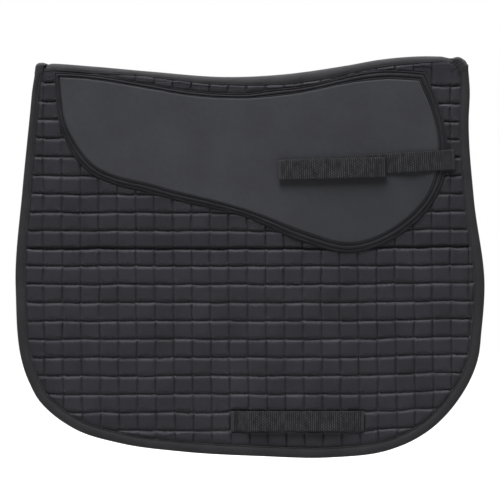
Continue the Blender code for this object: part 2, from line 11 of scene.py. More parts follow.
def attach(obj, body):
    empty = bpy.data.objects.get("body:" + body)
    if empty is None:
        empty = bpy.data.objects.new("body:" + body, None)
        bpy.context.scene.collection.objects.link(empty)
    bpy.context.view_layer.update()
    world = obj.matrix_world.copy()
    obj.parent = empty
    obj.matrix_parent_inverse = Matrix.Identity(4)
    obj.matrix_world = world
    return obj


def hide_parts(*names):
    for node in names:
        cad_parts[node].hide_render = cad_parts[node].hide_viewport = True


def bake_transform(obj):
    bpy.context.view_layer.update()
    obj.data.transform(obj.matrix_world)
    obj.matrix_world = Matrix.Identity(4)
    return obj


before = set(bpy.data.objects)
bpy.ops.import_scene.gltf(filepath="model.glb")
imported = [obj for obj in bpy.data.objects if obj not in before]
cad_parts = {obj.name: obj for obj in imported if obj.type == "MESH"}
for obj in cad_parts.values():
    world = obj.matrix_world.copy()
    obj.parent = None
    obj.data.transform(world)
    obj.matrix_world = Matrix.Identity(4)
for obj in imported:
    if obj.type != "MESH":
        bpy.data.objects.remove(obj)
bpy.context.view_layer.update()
print("stage: frame loaded,", len(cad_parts), "nodes")

sides = {"off": -1, "near": 1}  # side name and its sign along Y

# Depths of the layers, measured outward from the fold's middle plane.
depth = {
    "liningSeam": 0.0027,
    "liningCrown": 0.0005,
    "coverBack": 0.0046,
    "coverSeam": 0.0057,
    "pressed": 0.0067,
    "gripBack": 0.0080,
    "gripField": 0.0120,
    "strapIn": 0.01245,
    "strapOut": 0.01395,
    "tailIn": 0.01645,
    "tailOut": 0.01795,
}

# The cut of the pad: x as shares of its length, z as shares of its drop, ridge heights in metres.
pattern = {
    "length": 0.6477,
    "drop": 0.5243,
    "frontCorner": (0.4655, 0.0284),
    "rearCorner": (-0.4593, 0.0195),
    "frontRadius": 0.0105,
    "rearRadius": 0.0060,
    "cornerReach": 0.0157,
    "ridge": (
        (-0.3406, 0.0156), (-0.2135, 0.0084), (-0.0463, 0.0011), (0.0758, 0.0050), (0.2040, 0.0165),
        (0.2841, 0.0254), (0.3641, 0.0293),
    ),
    "front": (
        (0.4687, -0.0315), (0.4664, -0.1106), (0.4777, -0.3216),
        (0.5002, -0.5531), (0.4938, -0.6645), (0.4855, -0.7437),
    ),
    "hem": (
        (0.4437, -0.8491), (0.3804, -0.9301), (0.3417, -0.9589), (0.2954, -0.9809), (0.1718, -1.0000),
        (0.0214, -0.9965), (-0.1484, -0.9842), (-0.2765, -0.9626), (-0.3725, -0.9258),
        (-0.4303, -0.8758), (-0.4484, -0.8523), (-0.4729, -0.7963),
    ),
    "rear": (
        (-0.4998, -0.5531), (-0.4853, -0.2953), (-0.4727, -0.1369), (-0.4684, -0.0842), (-0.4643, -0.0315),
    ),
    "gripCorners": ((-0.4166, 0.0078), (0.3687, 0.0023)),
    "gripTop": (
        (-0.3451, 0.0048), (-0.2084, -0.0092), (-0.1241, -0.0181), (-0.0003, -0.0215),
        (0.0767, -0.0170), (0.2368, 0.0018), (0.2890, 0.0048),
    ),
    "gripLower": (
        (0.4025, -0.0925), (0.4149, -0.1900), (0.3914, -0.3056), (0.3125, -0.4032), (0.2186, -0.4455),
        (0.1152, -0.4171), (-0.0037, -0.3612), (-0.1962, -0.2975), (-0.3500, -0.2304),
        (-0.3983, -0.1347), (-0.4153, -0.0223),
    ),
    "turnedIn": 0.0015,  # the quilting ends this far inside the finished rim
    "step": 0.007,
}


def graded(stations, drop=1.0):
    return [(x * pattern["length"], z * drop) for x, z in stations]


def smoothRun(stations, step, endSlope=None):  # points along a smooth line through the stations
    points = [Vector(station) for station in stations]
    chords = [(b - a).length for a, b in zip(points, points[1:])]
    slopes = []
    for i in range(len(points)):
        if endSlope and i in (0, len(points) - 1):
            slopes.append(Vector(endSlope))
        elif i == 0:
            slopes.append((points[1] - points[0]) / chords[0])
        elif i == len(points) - 1:
            slopes.append((points[-1] - points[-2]) / chords[-1])
        else:
            before = (points[i] - points[i - 1]) / chords[i - 1]
            after = (points[i + 1] - points[i]) / chords[i]
            slopes.append(before.lerp(after, chords[i - 1] / (chords[i - 1] + chords[i])))
    line = [points[0]]
    for i, chord in enumerate(chords):
        steps = max(1, round(chord / step))
        for k in range(1, steps + 1):
            t = k / steps
            h0 = 2 * t ** 3 - 3 * t ** 2 + 1
            h1 = t ** 3 - 2 * t ** 2 + t
            h3 = t ** 3 - t ** 2
            start = points[i] * h0 + slopes[i] * (h1 * chord)
            line.append(start + points[i + 1] * (1 - h0) + slopes[i + 1] * (h3 * chord))
    return line


def roundedCorner(before, corner, after, radius, steps=8):
    corner = Vector(corner)
    back = (Vector(before) - corner).normalized()
    ahead = (Vector(after) - corner).normalized()
    halfAngle = back.angle(ahead) / 2
    reach = radius / tan(halfAngle)
    centre = corner + (back + ahead).normalized() * (radius / sin(halfAngle))
    first = corner + back * reach - centre
    turn = first.angle_signed(corner + ahead * reach - centre)
    return [centre + Matrix.Rotation(-turn * k / steps, 2) @ first for k in range(steps + 1)]


def shifted(points, distance, closed=True):  # outward for a positive distance on a clockwise outline
    moved = []
    last = len(points) - 1
    for i, point in enumerate(points):
        before = points[i - 1] if i or closed else None
        after = points[(i + 1) % len(points)] if i < last or closed else None
        into = (point - before).normalized() if before else (after - point).normalized()
        out = (after - point).normalized() if after else into
        leftIn = Vector((-into.y, into.x))
        leftOut = Vector((-out.y, out.x))
        far = distance[i] if hasattr(distance, "__len__") else distance
        moved.append(point + (leftIn + leftOut) * (far / (1 + leftIn.dot(leftOut))))
    return moved


frontX, frontZ = graded([pattern["frontCorner"]])[0]
rearX, rearZ = graded([pattern["rearCorner"]])[0]
reach = pattern["cornerReach"]
frontTop, frontEdge = (frontX - reach, frontZ), (frontX, frontZ - reach)
rearTop, rearEdge = (rearX + reach, rearZ), (rearX, rearZ - reach)
ridge = smoothRun((rearTop, *graded(pattern["ridge"]), frontTop), pattern["step"], (1, 0))
flap = graded(pattern["front"] + pattern["hem"] + pattern["rear"], pattern["drop"])
edge = smoothRun((frontEdge, *flap, rearEdge), pattern["step"])
frontArc = roundedCorner(frontTop, (frontX, frontZ), frontEdge, pattern["frontRadius"])
rearArc = roundedCorner(rearEdge, (rearX, rearZ), rearTop, pattern["rearRadius"])
finished = ridge + frontArc + edge + rearArc
raw = shifted(finished, -pattern["turnedIn"])
gripEnds = graded(pattern["gripCorners"])
gripUpper = smoothRun((gripEnds[0], *graded(pattern["gripTop"]), gripEnds[1]), pattern["step"])
gripFlap = graded(pattern["gripLower"], pattern["drop"])
gripLower = smoothRun((gripEnds[1], *gripFlap, gripEnds[0]), pattern["step"])


def smoothStep(value, low, high):
    t = np.clip((value - low) / (high - low), 0.0, 1.0)
    return t * t * (3 - 2 * t)


def farFrom(places, line, closed=False):  # distance of each (x, z) place from a line of points
    a = np.array([tuple(p) for p in line])
    b = np.roll(a, -1, axis=0)
    if not closed:
        a, b = a[:-1], b[:-1]
    run = b - a
    runSquare = (run ** 2).sum(1)
    nearest = np.empty(len(places))
    batch = 4000
    for start in range(0, len(places), batch):
        part = places[start:start + batch, None, :] - a[None]
        t = np.clip((part * run).sum(2) / runSquare, 0, 1)
        gap = part - t[..., None] * run
        nearest[start:start + batch] = np.sqrt((gap ** 2).sum(2).min(1))
    return nearest


def within(places, outline):  # True for each (x, z) place inside the outline
    hit = np.zeros(len(places), bool)
    x, z = places[:, 0], places[:, 1]
    for a, b in zip(outline, outline[1:] + outline[:1]):
        if a.y == b.y:
            continue
        crossing = (a.y > z) != (b.y > z)
        hit ^= crossing & (x < a.x + (z - a.y) / (b.y - a.y) * (b.x - a.x))
    return hit


def ripple(x, z, size, seed):  # smooth noise over the flap, from -1 to 1
    spots = zip(np.ravel(x) / size, np.ravel(z) / size)
    values = [noise.noise(Vector((a, b, seed))) for a, b in spots]
    return np.array(values).reshape(np.shape(x)) * 1.6


spineTape = {
    "ply": 0.0008,
    "out": 0.0090,
    "roundness": 0.0115,
    "step": 0.0035,
    "waver": 0.00019,
    "lap": 0.0035,  # runs this far under the hood at each end
    "hemStart": 0.0028,
    "seamUp": 0.0020,
    "seamSink": 0.0003,
    "hem": ((0.0020, 0.0004, 0), (0.0013, 0.0, 1), (0.0004, 0.0001, 1), (0.0, 0.0008, 0)),  # up, inward, sway
    "shade": (0.4, 0.15, 0, 0, 0, 0, 0, 0, 0.25, 0, 0, 0.35),  # painted shade, from crest to hem: along the crest, by the hem seam and at the hem's edge
    "crest": (
        (-0.2818, -0.0006), (-0.2795, -0.0006), (-0.274, 0.0010), (-0.150, 0.0010), (0.000, 0.0006),
        (0.150, 0.0009), (0.266, 0.0012), (0.2765, -0.0010), (0.283, -0.0004),
    ),
    "widths": (
        (-0.277, 0.0105), (-0.200, 0.0100), (-0.155, 0.0072), (-0.108, 0.0092), (-0.020, 0.0120),
        (0.048, 0.0148), (0.111, 0.0142), (0.141, 0.0118), (0.224, 0.0108), (0.277, 0.0070),
    ),
}


def tapeWidth(x):  # how far the spine tape reaches down each side
    return float(np.interp(x, *zip(*spineTape["widths"])))


def tapeCrest(x):
    return np.interp(x, [p.x for p in ridge], [p.y for p in ridge]) + np.interp(x, *zip(*spineTape["crest"]))


def tapeDepth(low):  # how far the spine tape stands out, this far below its crest
    share = np.clip(1 - np.asarray(low) / spineTape["roundness"], 0, 1)
    return spineTape["out"] * np.sqrt(1 - share ** 2)


bindingWidths = {  # by height, at the rear and at the front
    "rear": ((-0.30, -0.12, 0.02), (0.0143, 0.0118, 0.0090)),
    "front": ((-0.30, -0.05, 0.02), (0.0143, 0.0132, 0.0126)),
    "between": (-0.2, 0.2),
}


def bindingWidth(x, z):  # how far the edge binding reaches in from the rim
    ends = [float(np.interp(z, *bindingWidths[end])) for end in ("rear", "front")]
    return float(np.interp(x, bindingWidths["between"], ends))


print("stage: outlines,", len(finished), "rim points")

# Finishes. Weave and fibres run on object coordinates, so they need no UVs; the webbing's ribs and the
# quilting's stitches read UV charts.
plainTape = {
    "slot": "binding_tape",
    "roughness": (0.70, 0.86),
    "weave": 0.00055,
    "twill": 0.0,
    "bump": 0.30,
    "sheen": 0.15,
    "specular": 0.12,
    "patch": 0.03,
    # the colour that the painted shade darkens towards
    "seamShade": (0.0020, 0.0020, 0.0025),
}
finish = {
    "quiltCotton": {
        "slot": "quilted_cotton",
        "dark": (0.0274, 0.0265, 0.0315),
        "colour": (0.0332, 0.0322, 0.0382),
        "light": (0.0388, 0.0378, 0.0445),
        # painted highlight: the paler colour laid on the puffs' upper edges
        "paintedLighting": (0.0735, 0.0713, 0.0830),
        "roughness": (0.78, 0.92),
        "weave": 0.00075,
        "twill": 1.0,
        "bump": 0.35,
        "sheen": 0.12,
        "specular": 0.10,
        "patch": 0.05,
        # the colour that the painted shade darkens towards
        "seamShade": (0.0030, 0.0030, 0.0040),
        "wrinkles": 0.0030,
        "stitches": 8.5,  # to a square of the quilting
        "thread": (0.060, 0.059, 0.066),
    },
    "bindingTape": {
        **plainTape,
        "dark": (0.0226, 0.0221, 0.0242),
        "colour": (0.0288, 0.0281, 0.0308),
        "light": (0.0352, 0.0345, 0.0377),
    },
    "gripTape": {
        **plainTape,
        "dark": (0.0155, 0.0152, 0.0186),
        "colour": (0.0208, 0.0205, 0.0250),
        "light": (0.0265, 0.0262, 0.0315),
        "sheen": 0.10,
    },
    "gripFabric": {
        "slot": "grip_fabric",
        "dark": (0.0470, 0.0466, 0.0534),
        "colour": (0.0522, 0.0530, 0.0598),
        "light": (0.0575, 0.0595, 0.0662),
        "roughness": (0.80, 0.95),
        "weave": 0.0011,
        "twill": 0.0,
        "bump": 0.20,
        "sheen": 0.20,
        "specular": 0.08,
        "patch": 0.06,
        # the colour that the painted shade darkens towards
        "seamShade": (0.0100, 0.0110, 0.0130),
    },
    "webbing": {
        **plainTape,
        "slot": "webbing",
        "dark": (0.0075, 0.0075, 0.0085),
        "colour": (0.0122, 0.0122, 0.0137),
        "light": (0.0165, 0.0166, 0.0186),
        "roughness": (0.62, 0.82),
        "weave": 0.0010,
        "twill": 1.0,
        "bump": 0.60,
        "sheen": 0.05,
        "patch": 0.004,
        # painted highlight laid on the crowns of the ribs
        "ribs": (0.0900, 0.0900, 0.0980),
        "cluster": 0.42,
    },
    "liningCotton": {
        "slot": "lining_cotton",
        "dark": (0.0240, 0.0240, 0.0265),
        "colour": (0.0300, 0.0300, 0.0330),
        "light": (0.0360, 0.0360, 0.0390),
        "roughness": (0.82, 0.95),
        "weave": 0.0007,
        "twill": 0.0,
        "bump": 0.30,
        "sheen": 0.12,
        "specular": 0.10,
        "patch": 0.05,
    },
    "closurePile": {
        "slot": "hook_and_loop",
        "dark": (0.0090, 0.0090, 0.0090),
        "colour": (0.0170, 0.0170, 0.0175),
        "light": (0.0290, 0.0290, 0.0295),
        "roughness": (0.85, 0.98),
        "weave": 0.0009,
        "twill": 0.0,
        "bump": 0.9,
        "sheen": 0.25,
        "specular": 0.08,
        "patch": 0.01,
    },
    "sewingThread": {
        "slot": "binding_tape",
        "dark": (0.0220, 0.0220, 0.0225),
        "colour": (0.0330, 0.0330, 0.0340),
        "light": (0.0480, 0.0480, 0.0490),
        "roughness": (0.45, 0.65),
        "weave": 0.0005,
        "twill": 1.0,
        "bump": 0.5,
        "sheen": 0.0,
        "specular": 0.20,
        "patch": 0.02,
    },
}
sheenLook = {"roughness": 0.45, "tint": (0.75, 0.75, 0.80, 1.0)}


def addNode(tree, kind, inputs=None, output=0, **settings):
    node = tree.nodes.new("ShaderNode" + kind)
    for name, value in settings.items():
        setattr(node, name, value)
    for name, value in (inputs or {}).items():
        if isinstance(value, bpy.types.NodeSocket):
            tree.links.new(value, node.inputs[name])
        else:
            node.inputs[name].default_value = value
    return node.outputs[output]


def addMath(kind, value, *others):  # joins the node tree that its first value comes from
    return addNode(value.id_data, "Math", dict(enumerate((value, *others))), operation=kind)


def times(value, other):
    return addMath("MULTIPLY", value, other)


def plus(value, other):
    return addMath("ADD", value, other)


def addRange(value, start, end, low=0.0, high=1.0, kind="LINEAR"):
    inputs = {"Value": value, "From Min": start, "From Max": end, "To Min": low, "To Max": high}
    return addNode(value.id_data, "MapRange", inputs, interpolation_type=kind)


def layColour(surface, colour, share):  # lays a colour over the surface by a share
    inputs = {"Factor": share, 6: surface, 7: (*colour, 1.0)}
    return addNode(surface.id_data, "Mix", inputs, 2, data_type="RGBA")


def addRamp(value, *stops):
    node = addNode(value.id_data, "ValToRGB", {"Fac": value}).node
    for (position, colour), element in zip((stops[0], stops[-1]), node.color_ramp.elements):
        element.position = position
        element.color = (*colour, 1.0)
    for position, colour in stops[1:-1]:
        node.color_ramp.elements.new(position).color = (*colour, 1.0)
    return node.outputs["Color"]


def backdropRays(tree):  # 1 for the rays that show the backdrop, 0 for those that light the pad
    rays = addNode(tree, "LightPath").node.outputs
    sharp = addMath("MAXIMUM", rays["Is Camera Ray"], rays["Is Transmission Ray"])
    return addMath("MAXIMUM", sharp, rays["Is Glossy Ray"])


def showRibs(tree, look, surface, fuzz):  # painted highlight on the rib crowns, in flecks and clusters, by the chart laid along the webbing
    chart = addNode(tree, "UVMap", uv_map="webChart")
    ranks = addNode(tree, "SeparateXYZ", {"Vector": chart}).node.outputs
    ribWave = addMath("SINE", times(ranks["X"], pi))
    crown = addMath("POWER", addMath("ABSOLUTE", ribWave), 2.5)
    fleckWave = addMath("SINE", times(ranks["Y"], 2 * pi))
    flecks = times(plus(fleckWave, 1.0), 0.5)
    share = times(crown, plus(times(flecks, 0.6), 0.25))
    bands = addNode(tree, "VectorMath", {0: chart, 1: (1.0, 0.65, 1.0)}, operation="MULTIPLY")
    clusters = addNode(tree, "TexNoise", {"Vector": bands, "Scale": look["cluster"], "Detail": 2.0}, "Fac")
    share = times(share, plus(fuzz, 0.35))
    share = times(share, addRange(clusters, 0.36, 0.64, 0.40, 1.50))
    return layColour(surface, look["ribs"], share)


def showStitching(tree, look, surface, patches):  # painted highlight on the puffs' upper edges, thread along the rows
    chart = addNode(tree, "UVMap", uv_map="quiltLines")
    ranks = addNode(tree, "SeparateXYZ", {"Vector": chart}).node.outputs

    def nearRow(reach):  # 1 on a row of stitches, 0 from this share of a square away
        off = addMath("PINGPONG", ranks["Y"], 0.5)
        return addRange(off, 0.0, reach, 1.0, 0.0, "SMOOTHSTEP")

    upward = addMath("FRACT", ranks["Y"])
    # painted highlight on the upper edge of each puff, just below the row of stitches above it
    crest = addRange(upward, 0.68, 0.92, kind="SMOOTHSTEP")
    crest = times(times(crest, addMath("LESS_THAN", upward, 0.985)), plus(patches, 0.35))
    surface = layColour(surface, look["paintedLighting"], crest)
    dash = addMath("SINE", times(ranks["X"], 2 * pi * look["stitches"]))
    dash = addMath("GREATER_THAN", dash, -0.55)
    onSeam = addMath("GREATER_THAN", nearRow(0.030), 0.5)
    surface = layColour(surface, look["thread"], times(times(dash, onSeam), 0.45))
    crumple = {"Vector": chart, "Scale": 4.6, "Detail": 3.0, "Distortion": 0.6}
    crumple = addMath("SUBTRACT", addNode(tree, "TexNoise", crumple, "Fac"), 0.5)
    folds = times(times(addMath("ABSOLUTE", crumple), -2.0), nearRow(0.42))  # they fan out of the stitching
    return surface, addNode(tree, "Bump", {"Strength": 1.0, "Distance": look["wrinkles"], "Height": folds})


def makeFinish(name, look):
    material = bpy.data.materials.new(name)
    material.use_nodes = True
    tree = material.node_tree
    shader = tree.nodes["Principled BSDF"]
    shader.inputs["Specular IOR Level"].default_value = look["specular"]
    shader.inputs["Sheen Weight"].default_value = look["sheen"]
    shader.inputs["Sheen Roughness"].default_value = sheenLook["roughness"]
    shader.inputs["Sheen Tint"].default_value = sheenLook["tint"]
    place = addNode(tree, "TexCoord", output="Object")

    def addNoise(size, detail, roughness=0.5):
        inputs = {"Vector": place, "Scale": 1.0 / size, "Detail": detail, "Roughness": roughness}
        return addNode(tree, "TexNoise", inputs, "Fac")

    def addYarns(direction):  # one set of yarns: a sine across a direction of the cloth
        turn = addNode(tree, "VectorMath", {0: place, 1: direction}, "Value", operation="DOT_PRODUCT")
        return addMath("SINE", times(turn, 2 * pi / look["weave"]))

    if look["twill"]:
        yarns = plus(addYarns((1, 0.15, 1)), times(addYarns((1, 0.2, -0.35)), 0.5))
    else:
        yarns = times(addYarns((1, 0.3, 0)), addYarns((0, 0.3, 1)))
    fibres = addNoise(look["weave"] * 0.9, 4.0, 0.7)
    fuzz = addNoise(look["weave"] * 6, 3.0)
    patches = addNoise(look["patch"], 3.0)
    worn = plus(plus(times(patches, 0.6), times(fuzz, 0.4)), times(yarns, 0.035))
    surface = addRamp(worn, (0.34, look["dark"]), (0.5, look["colour"]), (0.66, look["light"]))
    if "ribs" in look:
        surface = showRibs(tree, look, surface, fuzz)
    if "seamShade" in look:  # painted shade: darker colour where the seamShade attribute marks seams, grooves, creases, edges and hems, and on the grip panel's lower front
        pulled = addNode(tree, "Attribute", output="Fac", attribute_name="seamShade")
        surface = layColour(surface, look["seamShade"], pulled)
    height = plus(yarns, times(fibres, 1.2))
    bump = {"Strength": look["bump"], "Distance": look["weave"] * 0.25, "Height": height}
    if "stitches" in look:
        surface, bump["Normal"] = showStitching(tree, look, surface, patches)
    tree.links.new(surface, shader.inputs["Base Color"])
    tree.links.new(addRange(fuzz, 0.3, 0.7, *look["roughness"]), shader.inputs["Roughness"])
    tree.links.new(addNode(tree, "Bump", bump), shader.inputs["Normal"])
    return material


cloth = {name: makeFinish(name, look) for name, look in finish.items()}
print("stage: finishes,", len(cloth))


# Drafts: rows of (x, z, depth) points that become one mesh on either side of the fold.
def newDraft():
    return {"points": [], "faces": [], "finishes": [], "chart": {}, "shades": {}}


def addRows(draft, rows, finish=0, ringRows=False, ringColumns=False, shades=None):
    base = len(draft["points"])
    rowCount, columnCount = len(rows), len(rows[0])
    if shades is not None:
        draft["shades"].update(enumerate(np.ravel(shades), base))
    for row in rows:
        draft["points"].extend(tuple(point) for point in row)
    for i in range(rowCount if ringRows else rowCount - 1):
        here, there = base + i * columnCount, base + (i + 1) % rowCount * columnCount
        for j in range(columnCount if ringColumns else columnCount - 1):
            k = (j + 1) % columnCount
            draft["faces"].append((here + j, here + k, there + k, there + j))
            draft["finishes"].append(finish)
    return base


def addTube(draft, rows, finish=0, shades=None):  # a closed section swept along a line, both ends closed
    base = addRows(draft, rows, finish, ringColumns=True, shades=shades)
    count = len(rows[0])
    last = base + (len(rows) - 1) * count
    draft["faces"] += [tuple(range(base, base + count)), tuple(range(last, last + count))]
    draft["finishes"] += [finish, finish]
    return base


def along(line, pitch, start=0.0):  # evenly spaced places on a line of (x, z, depth), and its run there
    line = np.array(line, float)
    runs = np.sqrt((np.diff(line, axis=0) ** 2).sum(1))
    marks = np.concatenate(((0,), np.cumsum(runs)))
    stops = np.arange(start, marks[-1], pitch)
    places = np.column_stack([np.interp(stops, marks, line[:, k]) for k in range(3)])
    ahead = np.column_stack([np.interp(stops + 0.0005, marks, line[:, k]) for k in range(3)])
    behind = np.column_stack([np.interp(stops - 0.0005, marks, line[:, k]) for k in range(3)])
    return places, ahead - behind


thread = {
    "stitch": 0.0030,
    "gap": 0.0010,
    "radius": 0.00028,
    "taper": ((-0.5, 0.35), (-0.32, 1.0), (0.32, 1.0), (0.5, 0.35)),  # thickness along a stitch
    "dip": 1.1,  # its ends go down by this many radii
    "proud": 0.0001,  # the thread's middle line stands off tape and webbing by this much
}


def addStitches(draft, line, finish, stitch=thread["stitch"], radius=thread["radius"]):
    places, ways = along(line, stitch + thread["gap"], stitch / 2)
    ring = [(cos(k * pi / 2 + pi / 4), sin(k * pi / 2 + pi / 4)) for k in range(4)]
    for place, way in zip(places, ways):
        way = Vector(way).normalized()
        out = Vector((0, 0, 1))
        side = way.cross(out).normalized()
        out = side.cross(way)
        middle = Vector(place)
        rows = []
        for share, girth in thread["taper"]:
            sink = out * (-radius * thread["dip"] * (girth < 1))
            centre = middle + way * (share * stitch) + sink
            rows.append([centre + (side * c + out * s) * (radius * girth) for c, s in ring])
        addTube(draft, rows, finish)


def addPiece(name, mesh, *finishNames):
    for item in finishNames:
        mesh.materials.append(cloth[item])
    piece = bpy.data.objects.new(name, mesh)
    bpy.context.scene.collection.objects.link(piece)
    return piece


def layChart(mesh, name, marks):  # a UV chart from one mark for each vertex
    corners = np.empty(len(mesh.loops), int)
    mesh.loops.foreach_get("vertex_index", corners)
    mesh.uv_layers.new(name=name).data.foreach_set("uv", marks[corners].ravel())


def makePiece(name, side, draft, *finishNames, merge=0.0):
    shape = bmesh.new()
    shade = shape.verts.layers.float.new("seamShade")
    points = [shape.verts.new((x, sides[side] * d, z)) for x, z, d in draft["points"]]
    for i, value in draft["shades"].items():
        points[i][shade] = value
    for corners, number in zip(draft["faces"], draft["finishes"]):
        face = shape.faces.new([points[i] for i in corners])
        face.material_index = number
        face.smooth = True
    if merge:
        bmesh.ops.remove_doubles(shape, verts=shape.verts, dist=merge)
    bmesh.ops.recalc_face_normals(shape, faces=shape.faces)
    mesh = bpy.data.meshes.new(name)
    shape.to_mesh(mesh)
    shape.free()
    if draft["chart"]:
        marks = np.zeros((len(mesh.vertices), 2))
        for i, mark in draft["chart"].items():
            marks[i] = mark
        layChart(mesh, "webChart", marks)
    return addPiece(name, mesh, *finishNames)


def onBothSides(stage, *makers):
    for side in sides:
        for make in makers:
            make(side)
    print("stage:", stage)


def hangFromSpine(piece):
    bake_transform(piece)


def insetRing(outline, distance):  # a parallel outline whose points gather at sharp corners, not cross
    moved = shifted(outline, distance)
    far = np.abs(distance) if hasattr(distance, "__len__") else np.full(len(moved), abs(distance))
    near = farFrom(np.array([tuple(p) for p in moved]), outline + outline[:1])
    good = near > far - 0.00012
    count = len(moved)
    tidy = []
    for i, point in enumerate(moved):
        if not good[i]:
            for hop in range(1, count):
                if good[(i + hop) % count]:
                    point = moved[(i + hop) % count]
                    break
                if good[i - hop]:
                    point = moved[i - hop]
                    break
        tidy.append(point)
    return tidy


# The grip panel's outline as one ring, with the tape's reach outside and inside it.
gripTape = {
    "columns": 120,
    "topX": (-0.270, -0.200, 0.000, 0.030, 0.055, 0.075, 0.110, 0.140, 0.165),
    "topOut": (0.0004, 0.0008, 0.0002, 0.0038, 0.0026, 0.0014, 0.0016, 0.0036, 0.0060),
    "topIn": 0.0070,
    "lowShare": (
        0.0, 0.053, 0.091, 0.15, 0.235, 0.305, 0.382, 0.443, 0.50, 0.56, 0.67, 0.785, 0.85, 0.93, 1.0,
    ),
    "lowOut": (0.6, 0.6, 3.4, 4.2, 5.0, 5.6, 4.0, 2.8, 5.0, 7.4, 6.4, 5.8, 5.4, 3.4, 4.8),
    "lowIn": (8.2, 7.4, 5.6, 7.8, 5.6, 5.8, 6.6, 5.7, 7.0, 6.0, 5.8, 7.0, 8.4, 9.4, 8.6),
    "unit": 0.001,  # the low widths are in millimetres
    "foot": 0.0084,
    # the tape's section from its outer edge in: share of its width, how far it stands above its foot, and
    # painted shade, dark at both edges and in the grooves
    "profile": (
        (0.0, -0.0006, 0.9), (0.03, 0.0006, 0.5), (0.08, 0.0016, 0.0), (0.16, 0.0016, 0.0),
        (0.21, 0.0009, 0.3), (0.25, 0.0003, 0.7), (0.29, 0.0009, 0.3), (0.35, 0.0017, 0.0),
        (0.46, 0.0023, 0.0), (0.58, 0.0023, 0.0), (0.67, 0.0015, 0.2), (0.72, 0.0005, 0.8),
        (0.77, 0.0012, 0.3), (0.84, 0.0020, 0.0), (0.92, 0.0018, 0.1), (0.97, 0.0010, 0.6),
        (1.0, 0.0000, 0.9),
    ),
    "seams": (0.25, 0.72),
    "seamUp": 0.0006,
    "thread": (0.0026, 0.00024),
    "under": 0.0074,
    # painted shade on the tape's underside
    "underDark": 0.5,
    "slant": (0.0010, 0.0008),  # the inner edge lies this much further out, above and below
    "pucker": 0.00022,
}


def evened(line, count):
    places, _ = along([(p.x, p.y, 0) for p in line], 0.0005)
    places = np.vstack((places, (line[-1].x, line[-1].y, 0)))
    runs = np.concatenate(((0,), np.cumsum(np.sqrt((np.diff(places, axis=0) ** 2).sum(1)))))
    stops = np.linspace(0, runs[-1], count)
    return [Vector((np.interp(s, runs, places[:, 0]), np.interp(s, runs, places[:, 1]))) for s in stops]


panelTop = evened(gripUpper, gripTape["columns"])
panelLow = evened(gripLower[::-1], gripTape["columns"])
panelRing = panelTop + panelLow[-2:0:-1]
lowShares = [k / (gripTape["columns"] - 1) for k in range(gripTape["columns"] - 2, 0, -1)]
tapeOut = [np.interp(p.x, gripTape["topX"], gripTape["topOut"]) for p in panelTop]
tapeOut += list(np.interp(lowShares, gripTape["lowShare"], gripTape["lowOut"]) * gripTape["unit"])
tapeIn = [gripTape["topIn"]] * gripTape["columns"]
tapeIn += list(np.interp(lowShares, gripTape["lowShare"], gripTape["lowIn"]) * gripTape["unit"])
tapeOut, tapeIn = np.array(tapeOut), np.array(tapeIn)
for _ in range(5):  # the widths run into each other at the corners
    tapeOut = (np.roll(tapeOut, 1) + tapeOut + np.roll(tapeOut, -1)) / 3
    tapeIn = (np.roll(tapeIn, 1) + tapeIn + np.roll(tapeIn, -1)) / 3
tapeRim = insetRing(panelRing, tapeOut)

# Hoods: the edge binding where it crosses the ridge at each end, as its rim and the line of its inner hem.
hoods = {
    "out": 0.0100,
    "ply": 0.0008,
    "shoulder": 0.0056,
    "columns": 26,
    "crumple": 0.00022,
    "slip": 0.0012,
    "slips": (0.70, 1.0),  # the lower end slips into the edge binding, between these shares of its run
    "turned": 0.004,  # the ply turns over the rim within this much
    "leg": ((0.66, 0.0001), (0.80, 0.0), (0.84, -0.0004), (0.88, 0.0), (0.96, 0.0), (1.0, -0.0006)),
    "seamShare": 0.84,  # the stitches lie this far from the rim to the hem
    "seamSink": 0.0001,
    "narrow": 0.006,  # a hood narrower than this has no seam
    "front": (
        (
            (0.2801, 0.0277), (0.2842, 0.0292), (0.2898, 0.0292), (0.2932, 0.0278), (0.2967, 0.0243),
            (0.2994, 0.0209), (0.3012, 0.0160), (0.3018, 0.0112), (0.3022, 0.0029),
        ),
        (
            (0.2798, 0.0271), (0.2800, 0.0228), (0.2822, 0.0185), (0.2862, 0.0140), (0.2888, 0.0090),
            (0.2896, 0.0029),
        ),
    ),
    "rear": (
        (
            (-0.2803, 0.0198), (-0.2831, 0.0207), (-0.2859, 0.0216), (-0.2890, 0.0214),
            (-0.2931, 0.0209), (-0.2957, 0.0188), (-0.2972, 0.0153), (-0.2977, 0.0105),
            (-0.2983, 0.0015),
        ),
        ((-0.2803, 0.0192), (-0.2846, 0.0160), (-0.2862, 0.0098), (-0.2884, 0.0015)),
    ),
}
hoodRims = {end: evened(smoothRun(hoods[end][0], 0.002), hoods["columns"]) for end in ("front", "rear")}
hoodHems = {end: evened(smoothRun(hoods[end][1], 0.002), hoods["columns"]) for end in ("front", "rear")}

